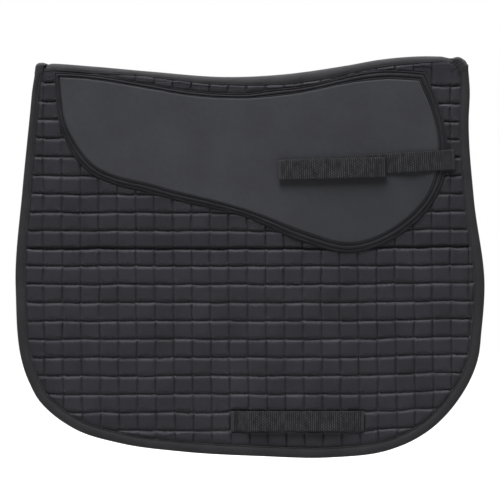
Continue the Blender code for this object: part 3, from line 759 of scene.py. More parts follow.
# Quilting: cotton twill stitched through in one inch squares, which puffs up and sags a little.
quilt = {
    "pitchX": 0.02556,
    "pitchZ": 0.02527,
    "columnX": -0.0043,
    "rowZ": -0.0058,
    "lean": (0.1245, 0.2738, 0.0043, 0.00055),  # towards the front the rows lean apart, from this x to that
    "bow": (0.0014, 0.00125, 0.2336, 0.227),  # and the columns bow, about this height
    "sag": (0.0021, 3.5, 6.0, 9.1, 10.0),  # the rows between these hang a little lower
    "sagEnds": (0.10, 0.22),
    "wander": (0.00075, 0.038, 0.042),  # how far the seams stray, and the size of that along and down
    "rise": 0.0044,
    "sideSlope": 0.0046,
    "sideRound": 2.2,
    "profile": (
        (0.0, 0.0), (0.012, 0.42), (0.03, 0.70), (0.06, 0.84), (0.13, 0.91), (0.25, 0.955),
        (0.45, 0.99), (0.66, 1.0), (0.74, 0.985), (0.80, 0.93), (0.84, 0.85), (0.88, 0.68),
        (0.92, 0.43), (0.96, 0.15), (0.985, 0.03), (1.0, 0.0),
    ),
    "pulled": (0.87, 0.13),  # how far the column seams pull the puffs down, and how much that varies
    "eased": (0.80, 0.20, 0.35, 0.85),  # less so at the foot of a square, up to these shares of it
    "uneven": 0.09,
    "pucker": 0.00060,
    "puckerPitch": 0.0052,
    "puckerReach": 0.0035,
    "puckerDrift": 0.020,
    "star": 0.00110,
    "starReach": 0.003,
    "openX": (-0.262, -0.250, 0.238, 0.252),  # along the ridge between these the quilting has no row seam
    "lastColumn": (11, 0.03),  # this column's seam ends just above the topmost row's
    "creaseRow": 9,
    "creaseSink": 0.0024,
    "creaseReach": 0.0011,
    "creaseVaried": (0.35, 0.03),
    "grain": (0.00012, 0.006),  # small unevenness all over, and its size
    "valley": 0.0016,
    "valleyReach": 0.038,
    "flushed": 0.0013,  # the cover meets the spine tape's hem this much further out
    "flushRange": (0.003, 0.007, 0.018, 0.024),  # rising and fading between these, below the tape's crest
    "underTape": 0.0010,
    "hemHighlight": (0.0015, 0.36, 0.0025),  # painted highlight below the tape's hem: where, strength, width
    "stripColumns": (-10, 9.99),
    "acrossShares": (0, 0.02, 0.05, 0.10, 0.17, 0.27, 0.38, 0.5, 0.62, 0.73, 0.83, 0.90, 0.95, 0.98),
    "upShares": (
        0, 0.012, 0.03, 0.06, 0.13, 0.25, 0.40, 0.56, 0.68, 0.75, 0.80, 0.84, 0.88, 0.92, 0.96, 0.985,
    ),
    "liningShares": (0, 0.06, 0.16, 0.32, 0.5, 0.68, 0.84, 0.94),
}
seamShading = {  # painted shade: how dark the stitched valleys are, and how far from the seam that reaches
    "aboveRow": (0.10, 0.0006),
    "belowRow": (0.06, 0.0005),
    "column": (0.26, 0.0010),
    "columnFoot": (0.45, 0.006),
    "dimple": (0.35, 0.0015),
    "crease": (0.95, 0.0018),
    "loopEnd": (0.8, 0.0011),
    "rowVaried": (0.75, 0.35),
    "columnVaried": (0.90, 0.20),
    "most": 0.9,
}
pressing = {  # where the quilting comes free again, measured outward from the edge of what presses it
    "edgeTape": (-0.0005, 0.0034),
    "spineTape": (-0.0012, 0.0022),
    "gripTape": (-0.0014, 0.0014),
    "hood": (-0.0012, 0.0022),
    "loopEnd": (-0.0005, 0.0035),
    "edgeWidths": ((-0.30, -0.05), (0.0143, 0.0118)),  # by height
}
girthLoop = {
    "rearX": -0.0269,
    "length": 0.1842,
    "z": -0.4739,
    "width": 0.0284,
    "turn": 0.0120,
    "ramp": 0.0180,
    "foot": 0.0080,  # the depth at which its turned ends start
    "raised": 0.0134,
    "air": 0.0003,  # between its two plies
    "seams": (0.0035, 0.0085),  # rows of stitches, measured in from each end
    "seamHalf": 0.44,  # as a share of the width
    # hems measured in from each end: (from, to, thicker, darker); thick ones get the painted hem highlight,
    # darker ones painted shade
    "rearHems": ((0.0011, 0.0045, 0.0003, 0.0), (0.0058, 0.0104, 0.0, 0.55)),
    "frontHems": ((0.0008, 0.0030, 0.0003, 0.0), (0.0042, 0.0056, 0.0, 0.30), (0.0118, 0.0146, 0.0, 0.50)),
}


def quiltPlace(u, v):  # where stitch line crossing (u, v) lies on the pad
    x = quilt["columnX"] + quilt["pitchX"] * u
    startX, endX, gap, growth = quilt["lean"]
    z = quilt["rowZ"] + quilt["pitchZ"] * v - smoothStep(x, startX, endX) * (gap + growth * v)
    drop, a, b, c, d = quilt["sag"]
    z = z - drop * smoothStep(-v, a, b) * (1 - smoothStep(-v, c, d)) * (1 - smoothStep(x, *quilt["sagEnds"]))
    slope, curve, middle, half = quilt["bow"]
    low = (-middle - z) / half
    x = x + slope * low + curve * low ** 2
    wander, sizeX, sizeZ = quilt["wander"]
    return x + wander * ripple(x, z, sizeX, 3.1), z + wander * ripple(x, z, sizeZ, 8.7)


def cutCloth(outline, acrossShares, upShares):  # grid of the quilting's own lines, trimmed to an outline
    xs, zs = [p.x for p in outline], [p.y for p in outline]
    firstColumn = floor((min(xs) - quilt["columnX"]) / quilt["pitchX"]) - 1
    across = range(firstColumn, ceil(max(xs) / quilt["pitchX"]) + 2)
    upward = range(floor(min(zs) / quilt["pitchZ"]) - 1, ceil(max(zs) / quilt["pitchZ"]) + 2)
    columns = [k + share for k in across for share in acrossShares]
    rows = [k + share for k in upward for share in upShares]
    u, v = np.meshgrid(columns, rows)
    spots = np.column_stack(quiltPlace(u.ravel(), v.ravel()))
    marks = np.column_stack((u.ravel(), v.ravel()))
    inside = within(spots, outline)
    number = np.arange(u.size).reshape(u.shape)
    corners = np.stack((number[:-1, :-1], number[1:, :-1], number[1:, 1:], number[:-1, 1:]), -1)
    corners = corners.reshape(-1, 4)
    corners = corners[inside[corners].any(1)]
    used = np.unique(corners)
    renumber = np.zeros(u.size, int)
    renumber[used] = np.arange(len(used))
    spots, marks, outside = spots[used], marks[used], ~inside[used]
    spots[outside] = nearestOn(spots[outside], outline)
    return spots, renumber[corners], marks


def nearestOn(places, line):
    a = np.array([tuple(p) for p in line])
    b = np.roll(a, -1, axis=0)
    run = b - a
    runSquare = (run ** 2).sum(1)
    moved = np.empty_like(places)
    for i, place in enumerate(places):
        t = np.clip(((place - a) * run).sum(1) / runSquare, 0, 1)
        spots = a + t[:, None] * run
        moved[i] = spots[((place - spots) ** 2).sum(1).argmin()]
    return moved


def loopEnds():  # where the girth loop's sewn ends press the quilting
    reach = girthLoop["turn"] + girthLoop["ramp"] / 2
    low = girthLoop["z"] - girthLoop["width"] / 2
    high = low + girthLoop["width"]
    rear = girthLoop["rearX"]
    front = rear + girthLoop["length"]
    for x0, x1 in ((rear, rear + reach), (front - reach, front)):
        yield [Vector((x0, low)), Vector((x0, high)), Vector((x1, high)), Vector((x1, low))]


def signedFrom(places, outline):  # distance outside an outline, negative inside it
    far = farFrom(places, outline + outline[:1])
    return np.where(within(places, outline), -far, far)


def columnSway(u, v):  # a different value for each stretch of each column seam, from -1 to 1
    return np.sin(np.round(u) * 12.9 + np.floor(v) * 78.2)


def pastSeam(u, v):  # where the last column's seam has ended
    column, end = quilt["lastColumn"]
    return (np.round(u) == column) * (v > end)


def quiltPuff(places, marks, steepness):  # 0 at the stitched lines, 1 on the puffs
    x, z = places[:, 0], places[:, 1]
    u, v = marks[:, 0], marks[:, 1]
    across = np.abs(u - np.round(u)) * quilt["pitchX"]
    upward = np.abs(v - np.round(v)) * quilt["pitchZ"]
    sideShare = np.clip(across / (quilt["sideSlope"] * steepness), 0, 1)
    sideways = 1 - (1 - sideShare) ** quilt["sideRound"]
    rise = np.interp(v - np.floor(v), *zip(*quilt["profile"]))
    a, b, c, d = quilt["openX"]
    opened = smoothStep(x, a, b) * (1 - smoothStep(x, c, d)) * (v > -0.5)
    opened = np.maximum(opened, v > 0.5)
    sideways = np.where(pastSeam(u, v), 1.0, sideways)
    least, varied = quilt["pulled"]
    pulls = least + varied * columnSway(u, v)
    least, varied, start, end = quilt["eased"]
    pulls = pulls * (least + varied * smoothStep(v - np.floor(v), start, end))
    rise = (rise + (1 - rise) * opened) * (1 - pulls * (1 - sideways ** 0.6))
    cells = np.floor(u) * 7.13 + np.floor(v) * 3.71
    plump = 1 + quilt["uneven"] * np.sin(cells * 12.9)
    phase = 2 * ripple(x, z, quilt["puckerDrift"], 6.0)
    pucker = np.sin(2 * pi * x / quilt["puckerPitch"] + phase) * np.exp(-upward / quilt["puckerReach"])
    crossing = np.round(u) * 5.3 + np.round(v) * 9.1
    angle = np.arctan2((v - np.round(v)), (u - np.round(u)))
    far = np.hypot(across, upward) / quilt["starReach"]
    star = np.sin(angle * 5 + crossing * 3) * np.sin(crossing * 7.7) ** 2 * far * np.exp(-far)
    creases = (pucker * quilt["pucker"] + star * quilt["star"]) * (1 - opened)
    return rise * plump + creases / quilt["rise"], opened


def shadeBy(kind, far):
    dark, reach = seamShading[kind]
    return dark * np.exp(-(far / reach) ** 2)


def seamDarkness(marks, opened):  # painted shade in the stitched valleys, where they cross, and along the crease
    u, v = marks[:, 0], marks[:, 1]
    across = np.abs(u - np.round(u)) * quilt["pitchX"]
    above = (v - np.floor(v)) * quilt["pitchZ"]
    below = quilt["pitchZ"] - above
    upward = np.minimum(above, below)
    least, varied = seamShading["rowVaried"]
    rowHash = least + varied * np.sin(np.floor(u) * 3.3 + np.round(v) * 5.9)
    row = shadeBy("aboveRow", above) + shadeBy("belowRow", below)
    dark, reach = seamShading["columnFoot"]
    footed = 1 + dark / seamShading["column"][0] * np.exp(-below / reach)
    least, varied = seamShading["columnVaried"]
    column = shadeBy("column", across) * footed * (least + varied * columnSway(u, v))
    column *= 1 - pastSeam(u, v)
    dimple = shadeBy("dimple", np.hypot(across, upward))
    crease = (np.round(v) == -quilt["creaseRow"]) * (v > np.round(v)) * shadeBy("crease", upward)
    return np.clip((row + dimple) * (1 - opened) * rowHash + column + crease, 0, seamShading["most"])


def loopShadow(places):  # painted contact shadow: a dark line in the quilting round the girth loop's ends
    dark = [shadeBy("loopEnd", farFrom(places, pocket + pocket[:1])) for pocket in loopEnds()]
    return np.max(dark, axis=0)


def pressedFlat(places):  # 0 under the tapes and webbing, 1 where the quilting is free
    x, z = places[:, 0], places[:, 1]

    def freed(kind, far):
        return smoothStep(far, *pressing[kind])

    widths = np.interp(z, *pressing["edgeWidths"])
    start, end = pressing["edgeTape"]
    free = smoothStep(farFrom(places, edge), widths + start, widths + end)
    free *= freed("spineTape", farFrom(places, ridge) - np.interp(x, *zip(*spineTape["widths"])))
    free *= freed("gripTape", signedFrom(places, tapeRim))
    for end in hoodRims:
        free *= freed("hood", signedFrom(places, hoodRims[end] + hoodHems[end][::-1]))
    for pocket in loopEnds():
        free *= freed("loopEnd", signedFrom(places, pocket))
    return free


coverSpots, coverFaces, coverMarks = cutCloth(raw, quilt["acrossShares"], quilt["upShares"])
coverPuff, coverOpened = quiltPuff(coverSpots, coverMarks, 1.0)
coverFree = pressedFlat(coverSpots)
# painted shade in the seams and crease, and the painted shadow round the girth loop's ends
coverDark = np.maximum(seamDarkness(coverMarks, coverOpened) * coverFree, loopShadow(coverSpots))
print("stage: quilting shaped,", len(coverSpots), "points")


def coverRest():  # the cut cloth laid over its wadding
    x, z = coverSpots[:, 0], coverSpots[:, 1]
    _, creaseZ = quiltPlace(coverMarks[:, 0], np.full(len(z), -float(quilt["creaseRow"])))
    off = z - creaseZ
    valley = quilt["valley"] * np.exp(-np.abs(off) / quilt["valleyReach"])
    varied, size = quilt["creaseVaried"]
    deep = quilt["creaseSink"] * (1 + varied * ripple(x, z, size, 4.4))
    crease = deep * np.exp(-(off / quilt["creaseReach"]) ** 2)
    proud = depth["coverSeam"] - crease - valley + quilt["rise"] * coverPuff
    grain, size = quilt["grain"]
    proud = proud + grain * ripple(x, z, size, 1.7)
    low = tapeCrest(x) - z
    a, b, c, d = quilt["flushRange"]
    base = depth["pressed"] + quilt["flushed"] * smoothStep(low, a, b) * (1 - smoothStep(low, c, d))
    inside = tapeDepth(low - quilt["underTape"]) - quilt["underTape"]
    out = np.where(low < b, np.minimum(base, inside), base + (proud - base) * coverFree)
    return np.column_stack((x, np.maximum(out, depth["coverBack"] * (low < b)), z))


# Cloth simulation: the cover is pinned along its seams and blown up a little, so that it wrinkles there.
settling = {
    "frames": 12,
    "quality": 5,
    "mass": 0.05,
    "pressure": 420,
    "slack": -0.035,
    "stretch": 15,
    "shear": 5,
    "bending": 0.05,
    "damping": 5,
    "most": 0.0008,
}


def settleCloth(start):
    mesh = bpy.data.meshes.new("coverTrial")
    mesh.from_pydata(start.tolist(), [], coverFaces[:, ::-1].tolist())
    trial = bpy.data.objects.new("coverTrial", mesh)
    scene = bpy.context.scene
    scene.collection.objects.link(trial)
    off = np.abs(coverMarks - np.round(coverMarks)) < 0.001
    held = off[:, 0] | (off[:, 1] & (coverOpened < 0.5)) | (coverFree < 0.6)
    pins = trial.vertex_groups.new(name="stitched")
    pins.add(np.flatnonzero(held).tolist(), 1.0, "REPLACE")
    puffed = trial.modifiers.new("puffed", "CLOTH")
    rules = puffed.settings
    rules.quality = settling["quality"]
    rules.mass = settling["mass"]
    rules.use_pressure = True
    rules.uniform_pressure_force = settling["pressure"]
    rules.tension_stiffness = rules.compression_stiffness = settling["stretch"]
    rules.tension_damping = rules.compression_damping = settling["damping"]
    rules.shear_stiffness = settling["shear"]
    rules.bending_stiffness = settling["bending"]
    rules.shrink_min = settling["slack"]
    rules.vertex_group_mass = "stitched"
    rules.effector_weights.gravity = 0.0
    puffed.collision_settings.use_collision = False
    puffed.point_cache.frame_end = settling["frames"]
    for frameNumber in range(1, settling["frames"] + 1):
        scene.frame_set(frameNumber)
    settled = trial.evaluated_get(bpy.context.evaluated_depsgraph_get()).to_mesh()
    after = np.empty(start.size)
    settled.vertices.foreach_get("co", after)
    moved = after.reshape(-1, 3) - start
    scene.frame_set(1)
    bpy.data.objects.remove(trial)
    far = np.sqrt((moved ** 2).sum(1))
    print("stage: cover settled, mean move", round(float(far.mean()) * 1000, 2), "mm, most", far.max() * 1000)
    return start + moved * (np.minimum(far, settling["most"]) / np.maximum(far, 1e-9))[:, None]


coverShape = settleCloth(coverRest())


def stitchChart():  # the quilting's columns and rows, without the row that the open strip lacks, and with the painted highlight below the spine tape's hem
    u, v = coverMarks[:, 0], coverMarks[:, 1]
    low = tapeCrest(coverSpots[:, 0]) - coverSpots[:, 1]
    below, strength, width = quilt["hemHighlight"]
    hem = np.interp(coverSpots[:, 0], *zip(*spineTape["widths"])) + below
    # painted highlight: the chart moves into the puffs' highlighted crest here, below the tape's hem
    crest = strength * np.exp(-((low - hem) / width) ** 2)
    start, end = quilt["stripColumns"]
    inStrip = (u > start) & (u < end) & (v > -0.5)
    return np.column_stack((u, np.where(inStrip, -0.5 + crest, np.minimum(v, 0.5))))


def clothMesh(name, spots, out, faces, sign):  # faces wind for the near side and are turned for the off side
    mesh = bpy.data.meshes.new(name)
    points = np.column_stack((spots[:, 0], sign * out, spots[:, 1]))
    mesh.from_pydata(points.tolist(), [], (faces[:, ::-1] if sign < 0 else faces).tolist())
    mesh.shade_smooth()
    return mesh


def makeCover(side):
    sign = sides[side]
    name = side + "_quiltedCover"
    mesh = clothMesh(name, coverShape[:, 0::2], coverShape[:, 1], coverFaces[:, ::-1], sign)
    layChart(mesh, "quiltLines", stitchChart())
    shade = mesh.attributes.new("seamShade", "FLOAT", "POINT")
    shade.data.foreach_set("value", coverDark)
    shape = bmesh.new()
    shape.from_mesh(mesh)
    rim = [line for line in shape.edges if line.is_boundary]
    for item in bmesh.ops.extrude_edge_only(shape, edges=rim)["geom"]:
        if isinstance(item, bmesh.types.BMVert):
            item.co.y = sign * depth["coverBack"]
    shape.to_mesh(mesh)
    shape.free()
    piece = addPiece(name, mesh, "quiltCotton")
    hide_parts(side + "_cover", side + "_wadding")
    hangFromSpine(piece)


onBothSides("covers", makeCover)

# Lining: the plain inner cloth, quilted with the cover and puffed a little the other way.
lining = {
    "steepness": 1.6,
    "puffed": 0.8,
    "rimOut": 0.0021,
    "rimReach": (0.0135, 0.018),
    "tapeReach": (0.021, 0.030),
    "flat": (0.648, 0.556),  # the piece of cloth it is cut from
}


def makeLining(side):
    spots, faces, marks = cutCloth(raw, quilt["liningShares"], quilt["liningShares"])
    puffs, _ = quiltPuff(spots, marks, lining["steepness"])
    inRim = smoothStep(farFrom(spots, edge), *lining["rimReach"])
    belowTape = smoothStep(farFrom(spots, ridge), *lining["tapeReach"])
    rise = (depth["liningSeam"] - depth["liningCrown"]) * puffs * lining["puffed"] * inRim * belowTape
    out = lining["rimOut"] + (depth["liningSeam"] - lining["rimOut"]) * inRim - rise
    name = side + "_quiltedLining"
    piece = addPiece(name, clothMesh(name, spots, out, faces, sides[side]), "liningCotton")
    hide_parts(side + "_lining")
    hangFromSpine(piece)


onBothSides("linings", makeLining)

# Edge binding: tape folded over the front edge, the hem and the rear edge.
edgeTape = {
    "crown": 0.0011,
    "ply": 0.0008,
    "out": 0.0083,
    "in": 0.0004,
    "step": 0.0028,
    "innerLeg": 0.0138,
    "seamInset": 0.0022,
    "underHood": 0.006,
    "pucker": 0.00012,
}


def makeEdgeBinding(side):
    draft = newDraft()
    upFront = [Vector((edge[0].x, edge[0].y + edgeTape["underHood"] * k / 2)) for k in (2, 1)]
    upRear = [Vector((edge[-1].x, edge[-1].y + edgeTape["underHood"] * k / 2)) for k in (1, 2)]
    coarse = upFront + edge + upRear
    path, _ = along([(p.x, p.y, 0) for p in coarse], edgeTape["step"])
    path = [Vector((x, z)) for x, z, _ in path]
    normals = [(a - b) for a, b in zip(shifted(path, 1.0, closed=False), path)]
    outer, crown, inner, leg, ply = [edgeTape[key] for key in ("out", "crown", "in", "innerLeg", "ply")]
    rows, shades, seamLine = [], [], []
    for i, (point, out) in enumerate(zip(path, normals)):
        width = bindingWidth(point.x, point.y)
        pull = edgeTape["pucker"] * sin(i * 2.1) + edgeTape["pucker"] * sin(i * 0.83 + 1.0)
        seam = width - edgeTape["seamInset"]
        section = [  # way in from the rim, depth, painted shade: from the hem over the rim to the inner leg; dark at the inner edge, the seam and where the rim turns away
            (width, outer - 0.0016, 0.85),
            (width - 0.0002, outer + 0.0002 + pull, 0.40),
            (width - 0.0010, outer + 0.0005 + pull),
            (seam + 0.0005, outer + 0.0003),
            (seam, outer - 0.0003, 0.35),
            (seam - 0.0005, outer + 0.0003),
            (seam - 0.0016, outer + 0.0008 + pull),
            (width * 0.62, outer + crown + pull * 0.5),
            (width * 0.42, outer + crown * 1.05),
            (width * 0.25, outer + crown * 0.85),
            (0.0017, outer + 0.0003),
            (0.0004, outer - 0.0011, 0.45),
            (-0.0003, outer - 0.0028, 0.85),
            (-0.0004, outer * 0.52, 0.85),
            (0.0, 0.0026, 0.4),
            (0.0009, 0.0012),
            (0.0022, inner),
            (leg * 0.6, inner - 0.0001),
            (leg - 0.0004, inner),
            (leg, inner + 0.0005),
            (leg - 0.0004, inner + ply),
            (0.0030, inner + ply + 0.0004),
            (0.0018, 0.0030),
            (0.0018, outer - 0.0025),
            (0.0035, outer - 0.0009),
            (width - 0.0010, outer - 0.0010),
        ]
        rows.append([(point.x - out.x * w, point.y - out.y * w, d) for w, d, *_ in section])
        shades.append([(*spot, 0.0)[2] for spot in section])
        seamLine.append((point.x - out.x * seam, point.y - out.y * seam, outer + 0.00025))
    addTube(draft, rows, shades=shades)
    addStitches(draft, seamLine, 1)
    piece = makePiece(side + "_edgeTape", side, draft, "bindingTape", "sewingThread")
    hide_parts(side + "_edge_binding")
    hangFromSpine(piece)


onBothSides("edge bindings", makeEdgeBinding)

# Spine tape over the fold, and the seam tape inside it.
def makeSpineTape():
    draft = newDraft()
    first, last = Vector((-spineTape["lap"], 0)), Vector((spineTape["lap"], 0))
    path, _ = along([(p.x, p.y, 0) for p in (ridge[0] + first, *ridge, ridge[-1] + last)], spineTape["step"])
    rows, shades, hems = [], [], {1: [], -1: []}
    ply = spineTape["ply"]
    for i, (x, z, _) in enumerate(path):
        width = tapeWidth(x)
        z += float(np.interp(x, *zip(*spineTape["crest"])))
        waver = spineTape["waver"] * (sin(i * 0.9) + 0.8 * sin(i * 0.37 + 2) + 0.7 * sin(i * 2.3))
        half = []
        for k in range(8):  # from the crest down to the hem
            low = (width - spineTape["hemStart"]) * (k / 7) ** 2
            half.append((float(tapeDepth(low)) + waver * k / 7, z - low))
        for up, inward, sway in spineTape["hem"]:
            half.append((float(tapeDepth(width - up)) - inward + waver * sway, z - width + up))
        shade = list(spineTape["shade"])
        shades.append(shade[::-1] + shade[1:] + [0.0] * (2 * len(half) - 1))
        under = [(max(d - ply, 0.0), level - ply * (k < 7)) for k, (d, level) in enumerate(half)]
        ring = [(x, level, d) for d, level in reversed(half)] + [(x, level, -d) for d, level in half[1:]]
        ring += [(x, level, -d) for d, level in reversed(under)] + [(x, level, d) for d, level in under[1:]]
        rows.append(ring)
        for way in hems:
            seamOut = float(tapeDepth(width - spineTape["seamUp"])) - spineTape["seamSink"]
            hems[way].append((x, z - width + spineTape["seamUp"], way * seamOut))
    addTube(draft, rows, shades=shades)
    for line in hems.values():
        addStitches(draft, line, 1)
    piece = makePiece("spineTape", "off", draft, "bindingTape", "sewingThread")
    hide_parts("spine_tape")
    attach(piece, "spine")


seamTape = {
    "high": 0.0028,  # it starts and ends this far below the ridge
    "low": 0.0204,
    "waver": 0.0002,
    "hem": 0.004,
    "depths": (0.0007, 0.0009, 0.0004),  # at its top, its hems and its foot
}


def makeSeamTape():
    draft = newDraft()
    top = shifted(ridge, -seamTape["high"], closed=False)[1:-1]
    low = shifted(ridge, -seamTape["low"], closed=False)[1:-1]
    hem = seamTape["hem"]
    atTop, atHem, atFoot = seamTape["depths"]
    rows = []
    for i, (a, b) in enumerate(zip(top, low)):
        waver = seamTape["waver"] * sin(i * 0.7)
        half = [(a.x, a.y, atTop), (a.x, a.y - hem, atHem)]
        half += [(b.x, b.y + hem, atHem), (b.x, b.y + waver, atFoot)]
        rows.append(half + [(x, z, -d) for x, z, d in reversed(half)])
    addTube(draft, rows)
    piece = makePiece("spineSeamTape", "off", draft, "liningCotton")
    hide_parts("spine_seam_tape")
    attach(piece, "spine")


makeSpineTape()
makeSeamTape()


def makeHood(name, node, end):
    draft = newDraft()
    rows, seam = [], []
    count = hoods["columns"]
    for i, (rim, hem) in enumerate(zip(hoodRims[end], hoodHems[end])):
        share = i / (count - 1)
        sink = float(smoothStep(share, *hoods["slips"]))
        crumple = hoods["crumple"] * (sin(i * 1.7) + 0.6 * sin(i * 3.1 + 1)) * (1 - sink)
        out = hoods["out"] - hoods["slip"] * sink + crumple
        span = (hem - rim).length
        toward = (hem - rim).normalized()
        half = []
        for far in [hoods["shoulder"] * (1 - cos(pi / 2 * k / 8)) for k in range(9)]:
            far = min(far, span)
            half.append((far, out * sqrt(max(0.0, 1 - (1 - far / hoods["shoulder"]) ** 2))))
        crown = half[-1][1]
        for part, lift in hoods["leg"]:
            half.append((max(half[-1][0], span * part), crown + lift * (span > hoods["narrow"])))
        ring = []
        for ply in (0.0, hoods["ply"]):
            line = []
            for way in (1, -1):
                leg = half if way < 0 else half[::-1]
                for far, d in leg[(way < 0):]:
                    place = rim + toward * (far + ply * max(0.0, 1 - far / hoods["turned"]))
                    line.append((place.x, place.y, way * max(d - ply, 0.0)))
            ring.append(line)
        rows.append(ring[0] + ring[1][::-1])
        if span > hoods["narrow"]:
            place = rim + toward * (span * hoods["seamShare"])
            seam.append((place.x, place.y, crown - hoods["seamSink"]))
    addTube(draft, rows)
    for way in (1, -1):
        addStitches(draft, [(x, z, way * d) for x, z, d in seam], 1)
    piece = makePiece(name, "off", draft, "bindingTape", "sewingThread", merge=0.00002)
    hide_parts(node)
    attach(piece, "spine")


makeHood("frontHood", "front_ridge_binding", "front")
makeHood("rearHood", "rear_ridge_binding", "rear")
print("stage: spine tape and hoods")

# Grip panel: smooth fabric under the saddle, bulging inside the tape that binds it.
panel = {
    "rows": 16,
    "tuck": 0.0008,
    "edgeOut": 0.0094,
    "bevel": ((0.0, 0.0), (0.0003, 0.35), (0.0008, 0.66), (0.0014, 0.87), (0.0022, 0.97), (0.0034, 1.0)),
    "swell": (0.00012, 0.02),  # how much it swells, and the size of that
    "dark": 0.20,
    "darkX": (0.0, 0.14),  # painted shade: it grows darker between these, and between these depths below the origin
    "darkLow": (0.03, 0.15),
}


def makeGripPanel(side):
    draft = newDraft()
    columns = gripTape["columns"]
    rise = depth["gripField"] - panel["edgeOut"]
    most, size = panel["swell"]
    rings = []
    for inset, share in panel["bevel"]:
        ring = insetRing(panelRing, list(-(tapeIn - panel["tuck"] + inset)))
        rings.append([(p.x, p.y, panel["edgeOut"] + rise * share) for p in ring])
    inner = rings[-1]
    under = [(x, z, depth["gripBack"]) for x, z, _ in rings[0]]
    addRows(draft, [under] + rings, ringColumns=True)
    upper = inner[:columns]
    lower = [inner[0]] + inner[:columns - 1:-1] + [inner[columns - 1]]
    for level in (0, 1):
        rows = []
        for k in range(panel["rows"] + 1):
            share = k / panel["rows"]
            row = []
            for a, b in zip(upper, lower):
                x, z = a[0] + (b[0] - a[0]) * share, a[1] + (b[1] - a[1]) * share
                swell = most * (noise.noise(Vector((x / size, z / size, 5.0))) - 1)
                proud = depth["gripField"] + swell * (0 < k < panel["rows"])
                row.append((x, z, depth["gripBack"] if level else proud))
            rows.append(row)
        addRows(draft, rows)
    piece = makePiece(side + "_gripPanel", side, draft, "gripFabric", merge=0.00003)
    points = np.empty(len(piece.data.vertices) * 3)
    piece.data.vertices.foreach_get("co", points)
    x, z = points[0::3], points[2::3]
    # painted shade: the panel grows darker towards its lower front
    paintedLighting = smoothStep(x, *panel["darkX"]) * smoothStep(-z, *panel["darkLow"]) * panel["dark"]
    piece.data.attributes["seamShade"].data.foreach_set("value", paintedLighting)
    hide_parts(side + "_grip_panel")
    hangFromSpine(piece)


def makeGripTape(side):
    draft = newDraft()
    width = tapeOut + tapeIn
    rows, shades = [], []
    for share, proud, shade in gripTape["profile"]:
        shades.append([shade] * len(panelRing))
        ring = insetRing(panelRing, list(tapeOut - width * share))
        pull = gripTape["pucker"] * (0.05 < share < 0.95)
        line = []
        for i, p in enumerate(ring):
            waver = pull * (sin(i * 1.9 + share * 9) + 0.6 * sin(i * 0.77 + share * 5))
            line.append((p.x, p.y, gripTape["foot"] + proud + gripTape["slant"][0] * share + waver))
        rows.append(line)
    for share in (1.0, 0.5, 0.0):
        ring = insetRing(panelRing, list(tapeOut - width * share))
        rows.append([(p.x, p.y, gripTape["under"] + gripTape["slant"][1] * share) for p in ring])
    shades += [[gripTape["underDark"]] * len(panelRing)] * 3
    addRows(draft, rows, ringRows=True, ringColumns=True, shades=shades)
    seamFoot = gripTape["foot"] + gripTape["seamUp"]
    for share in gripTape["seams"]:
        ring = insetRing(panelRing, list(tapeOut - width * share))
        line = [(p.x, p.y, seamFoot + gripTape["slant"][0] * share) for p in ring]
        addStitches(draft, line + line[:1], 1, *gripTape["thread"])
    piece = makePiece(side + "_gripTape", side, draft, "gripTape", "sewingThread", merge=0.00002)
    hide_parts(side + "_grip_binding")
    hangFromSpine(piece)


onBothSides("grip panels", makeGripPanel, makeGripTape)

# Webbing: the girth loop and the billet strap with its tail folded back.
web = {
    "ply": 0.0015,
    "width": 0.0280,
    "ribPitch": 0.0029,
    "ribRise": 0.00045,
    "ribRound": 0.7,
    "ribLevel": 0.55,  # this share of a rib lies below the ply's own face
    "stepsPerRib": 8,
    "shares": (-0.5, -0.485, -0.455, -0.40, 0.0, 0.40, 0.455, 0.485, 0.5),  # across the width
    "lifts": (0.0, 0.6, 0.9, 1.0, 1.0, 1.0, 0.9, 0.6, 0.0),  # and how far the web is full there
    "fleck": 0.0036,
    # painted shade along both edges of the webbing
    "edgeDark": 0.75,
    "plainMark": 0.255,  # places on the rib chart that give smooth webbing an even share of the rib highlight and thick hems the painted hem highlight
    "hemMark": 0.38,
    "bartack": (0.0018, 0.0003),  # stitch length and thread radius where webbing is sewn down
}
strap = {
    "hingeX": 0.2628,
    "hingeZ": -0.1141,
    "slope": radians(3.5),
    "sewn": 0.0199,
    "sewnWider": 0.0006,
    "gap": 0.0002,  # between two stretches of webbing
    "plain": 0.0010,  # beyond the hinge by this much the sewn end is smooth
    "splice": 0.105,
    "tailX": 0.0417,
    "tailZ": -0.127623,
    "tailSlope": radians(1.6),
    "tail": 0.1458,
    "swingBend": 0.004,
    "tailBend": (0.0142, 0.0163),
    "loopLength": 0.110,
    "hookLength": 0.070,
    "closureWidth": 0.024,
    "inset": 0.008,
    "loopDepths": (0.01425, 0.01495),  # foot and top of the pile
    "hookDepths": (0.01615, 0.01545),
    "tuftPitch": 0.0016,
    "tuftSize": 0.0019,
    "pile": (0.45, 0.8, 0.25),  # its height as shares: at the rim, inside, and how much that varies
    "ranks": 15,
    "bow": (0.183, 0.2585, 0.0024),  # between these the strap stands off the pad by this much
    "boxIn": (0.0035, 0.0025),  # the box of stitches lies this far inside the sewn end, rear and front
    "boxHalf": 0.0112,
    # the sewn end's hems: (from, to, thicker, darker); the thick fold gets the painted hem highlight, the
    # others painted shade
    "sewnHems": ((0.0, 0.0012, 0.0, 0.1), (0.0012, 0.0036, 0.00035, 0.0), (0.0044, 0.0052, 0.0, 0.3)),
    "tipHems": (  # measured back from the tail's end: painted shade at the tip and the hem seams, the painted hem highlight on the thick hem
        (0.0012, 0.0, 0.0, 0.85), (0.0035, 0.0012, 0.0002, 0.0),
        (0.0068, 0.0058, 0.0, 0.6), (0.0105, 0.0098, 0.0, 0.3),
    ),
    "foldHem": 0.0001,  # the fold is thicker by this much, to this far past it, and gets the painted hem highlight
    "foldPast": 0.0008,
}


def lineLength(line):
    return sum((Vector(b) - Vector(a)).length for a, b in zip(line, line[1:]))


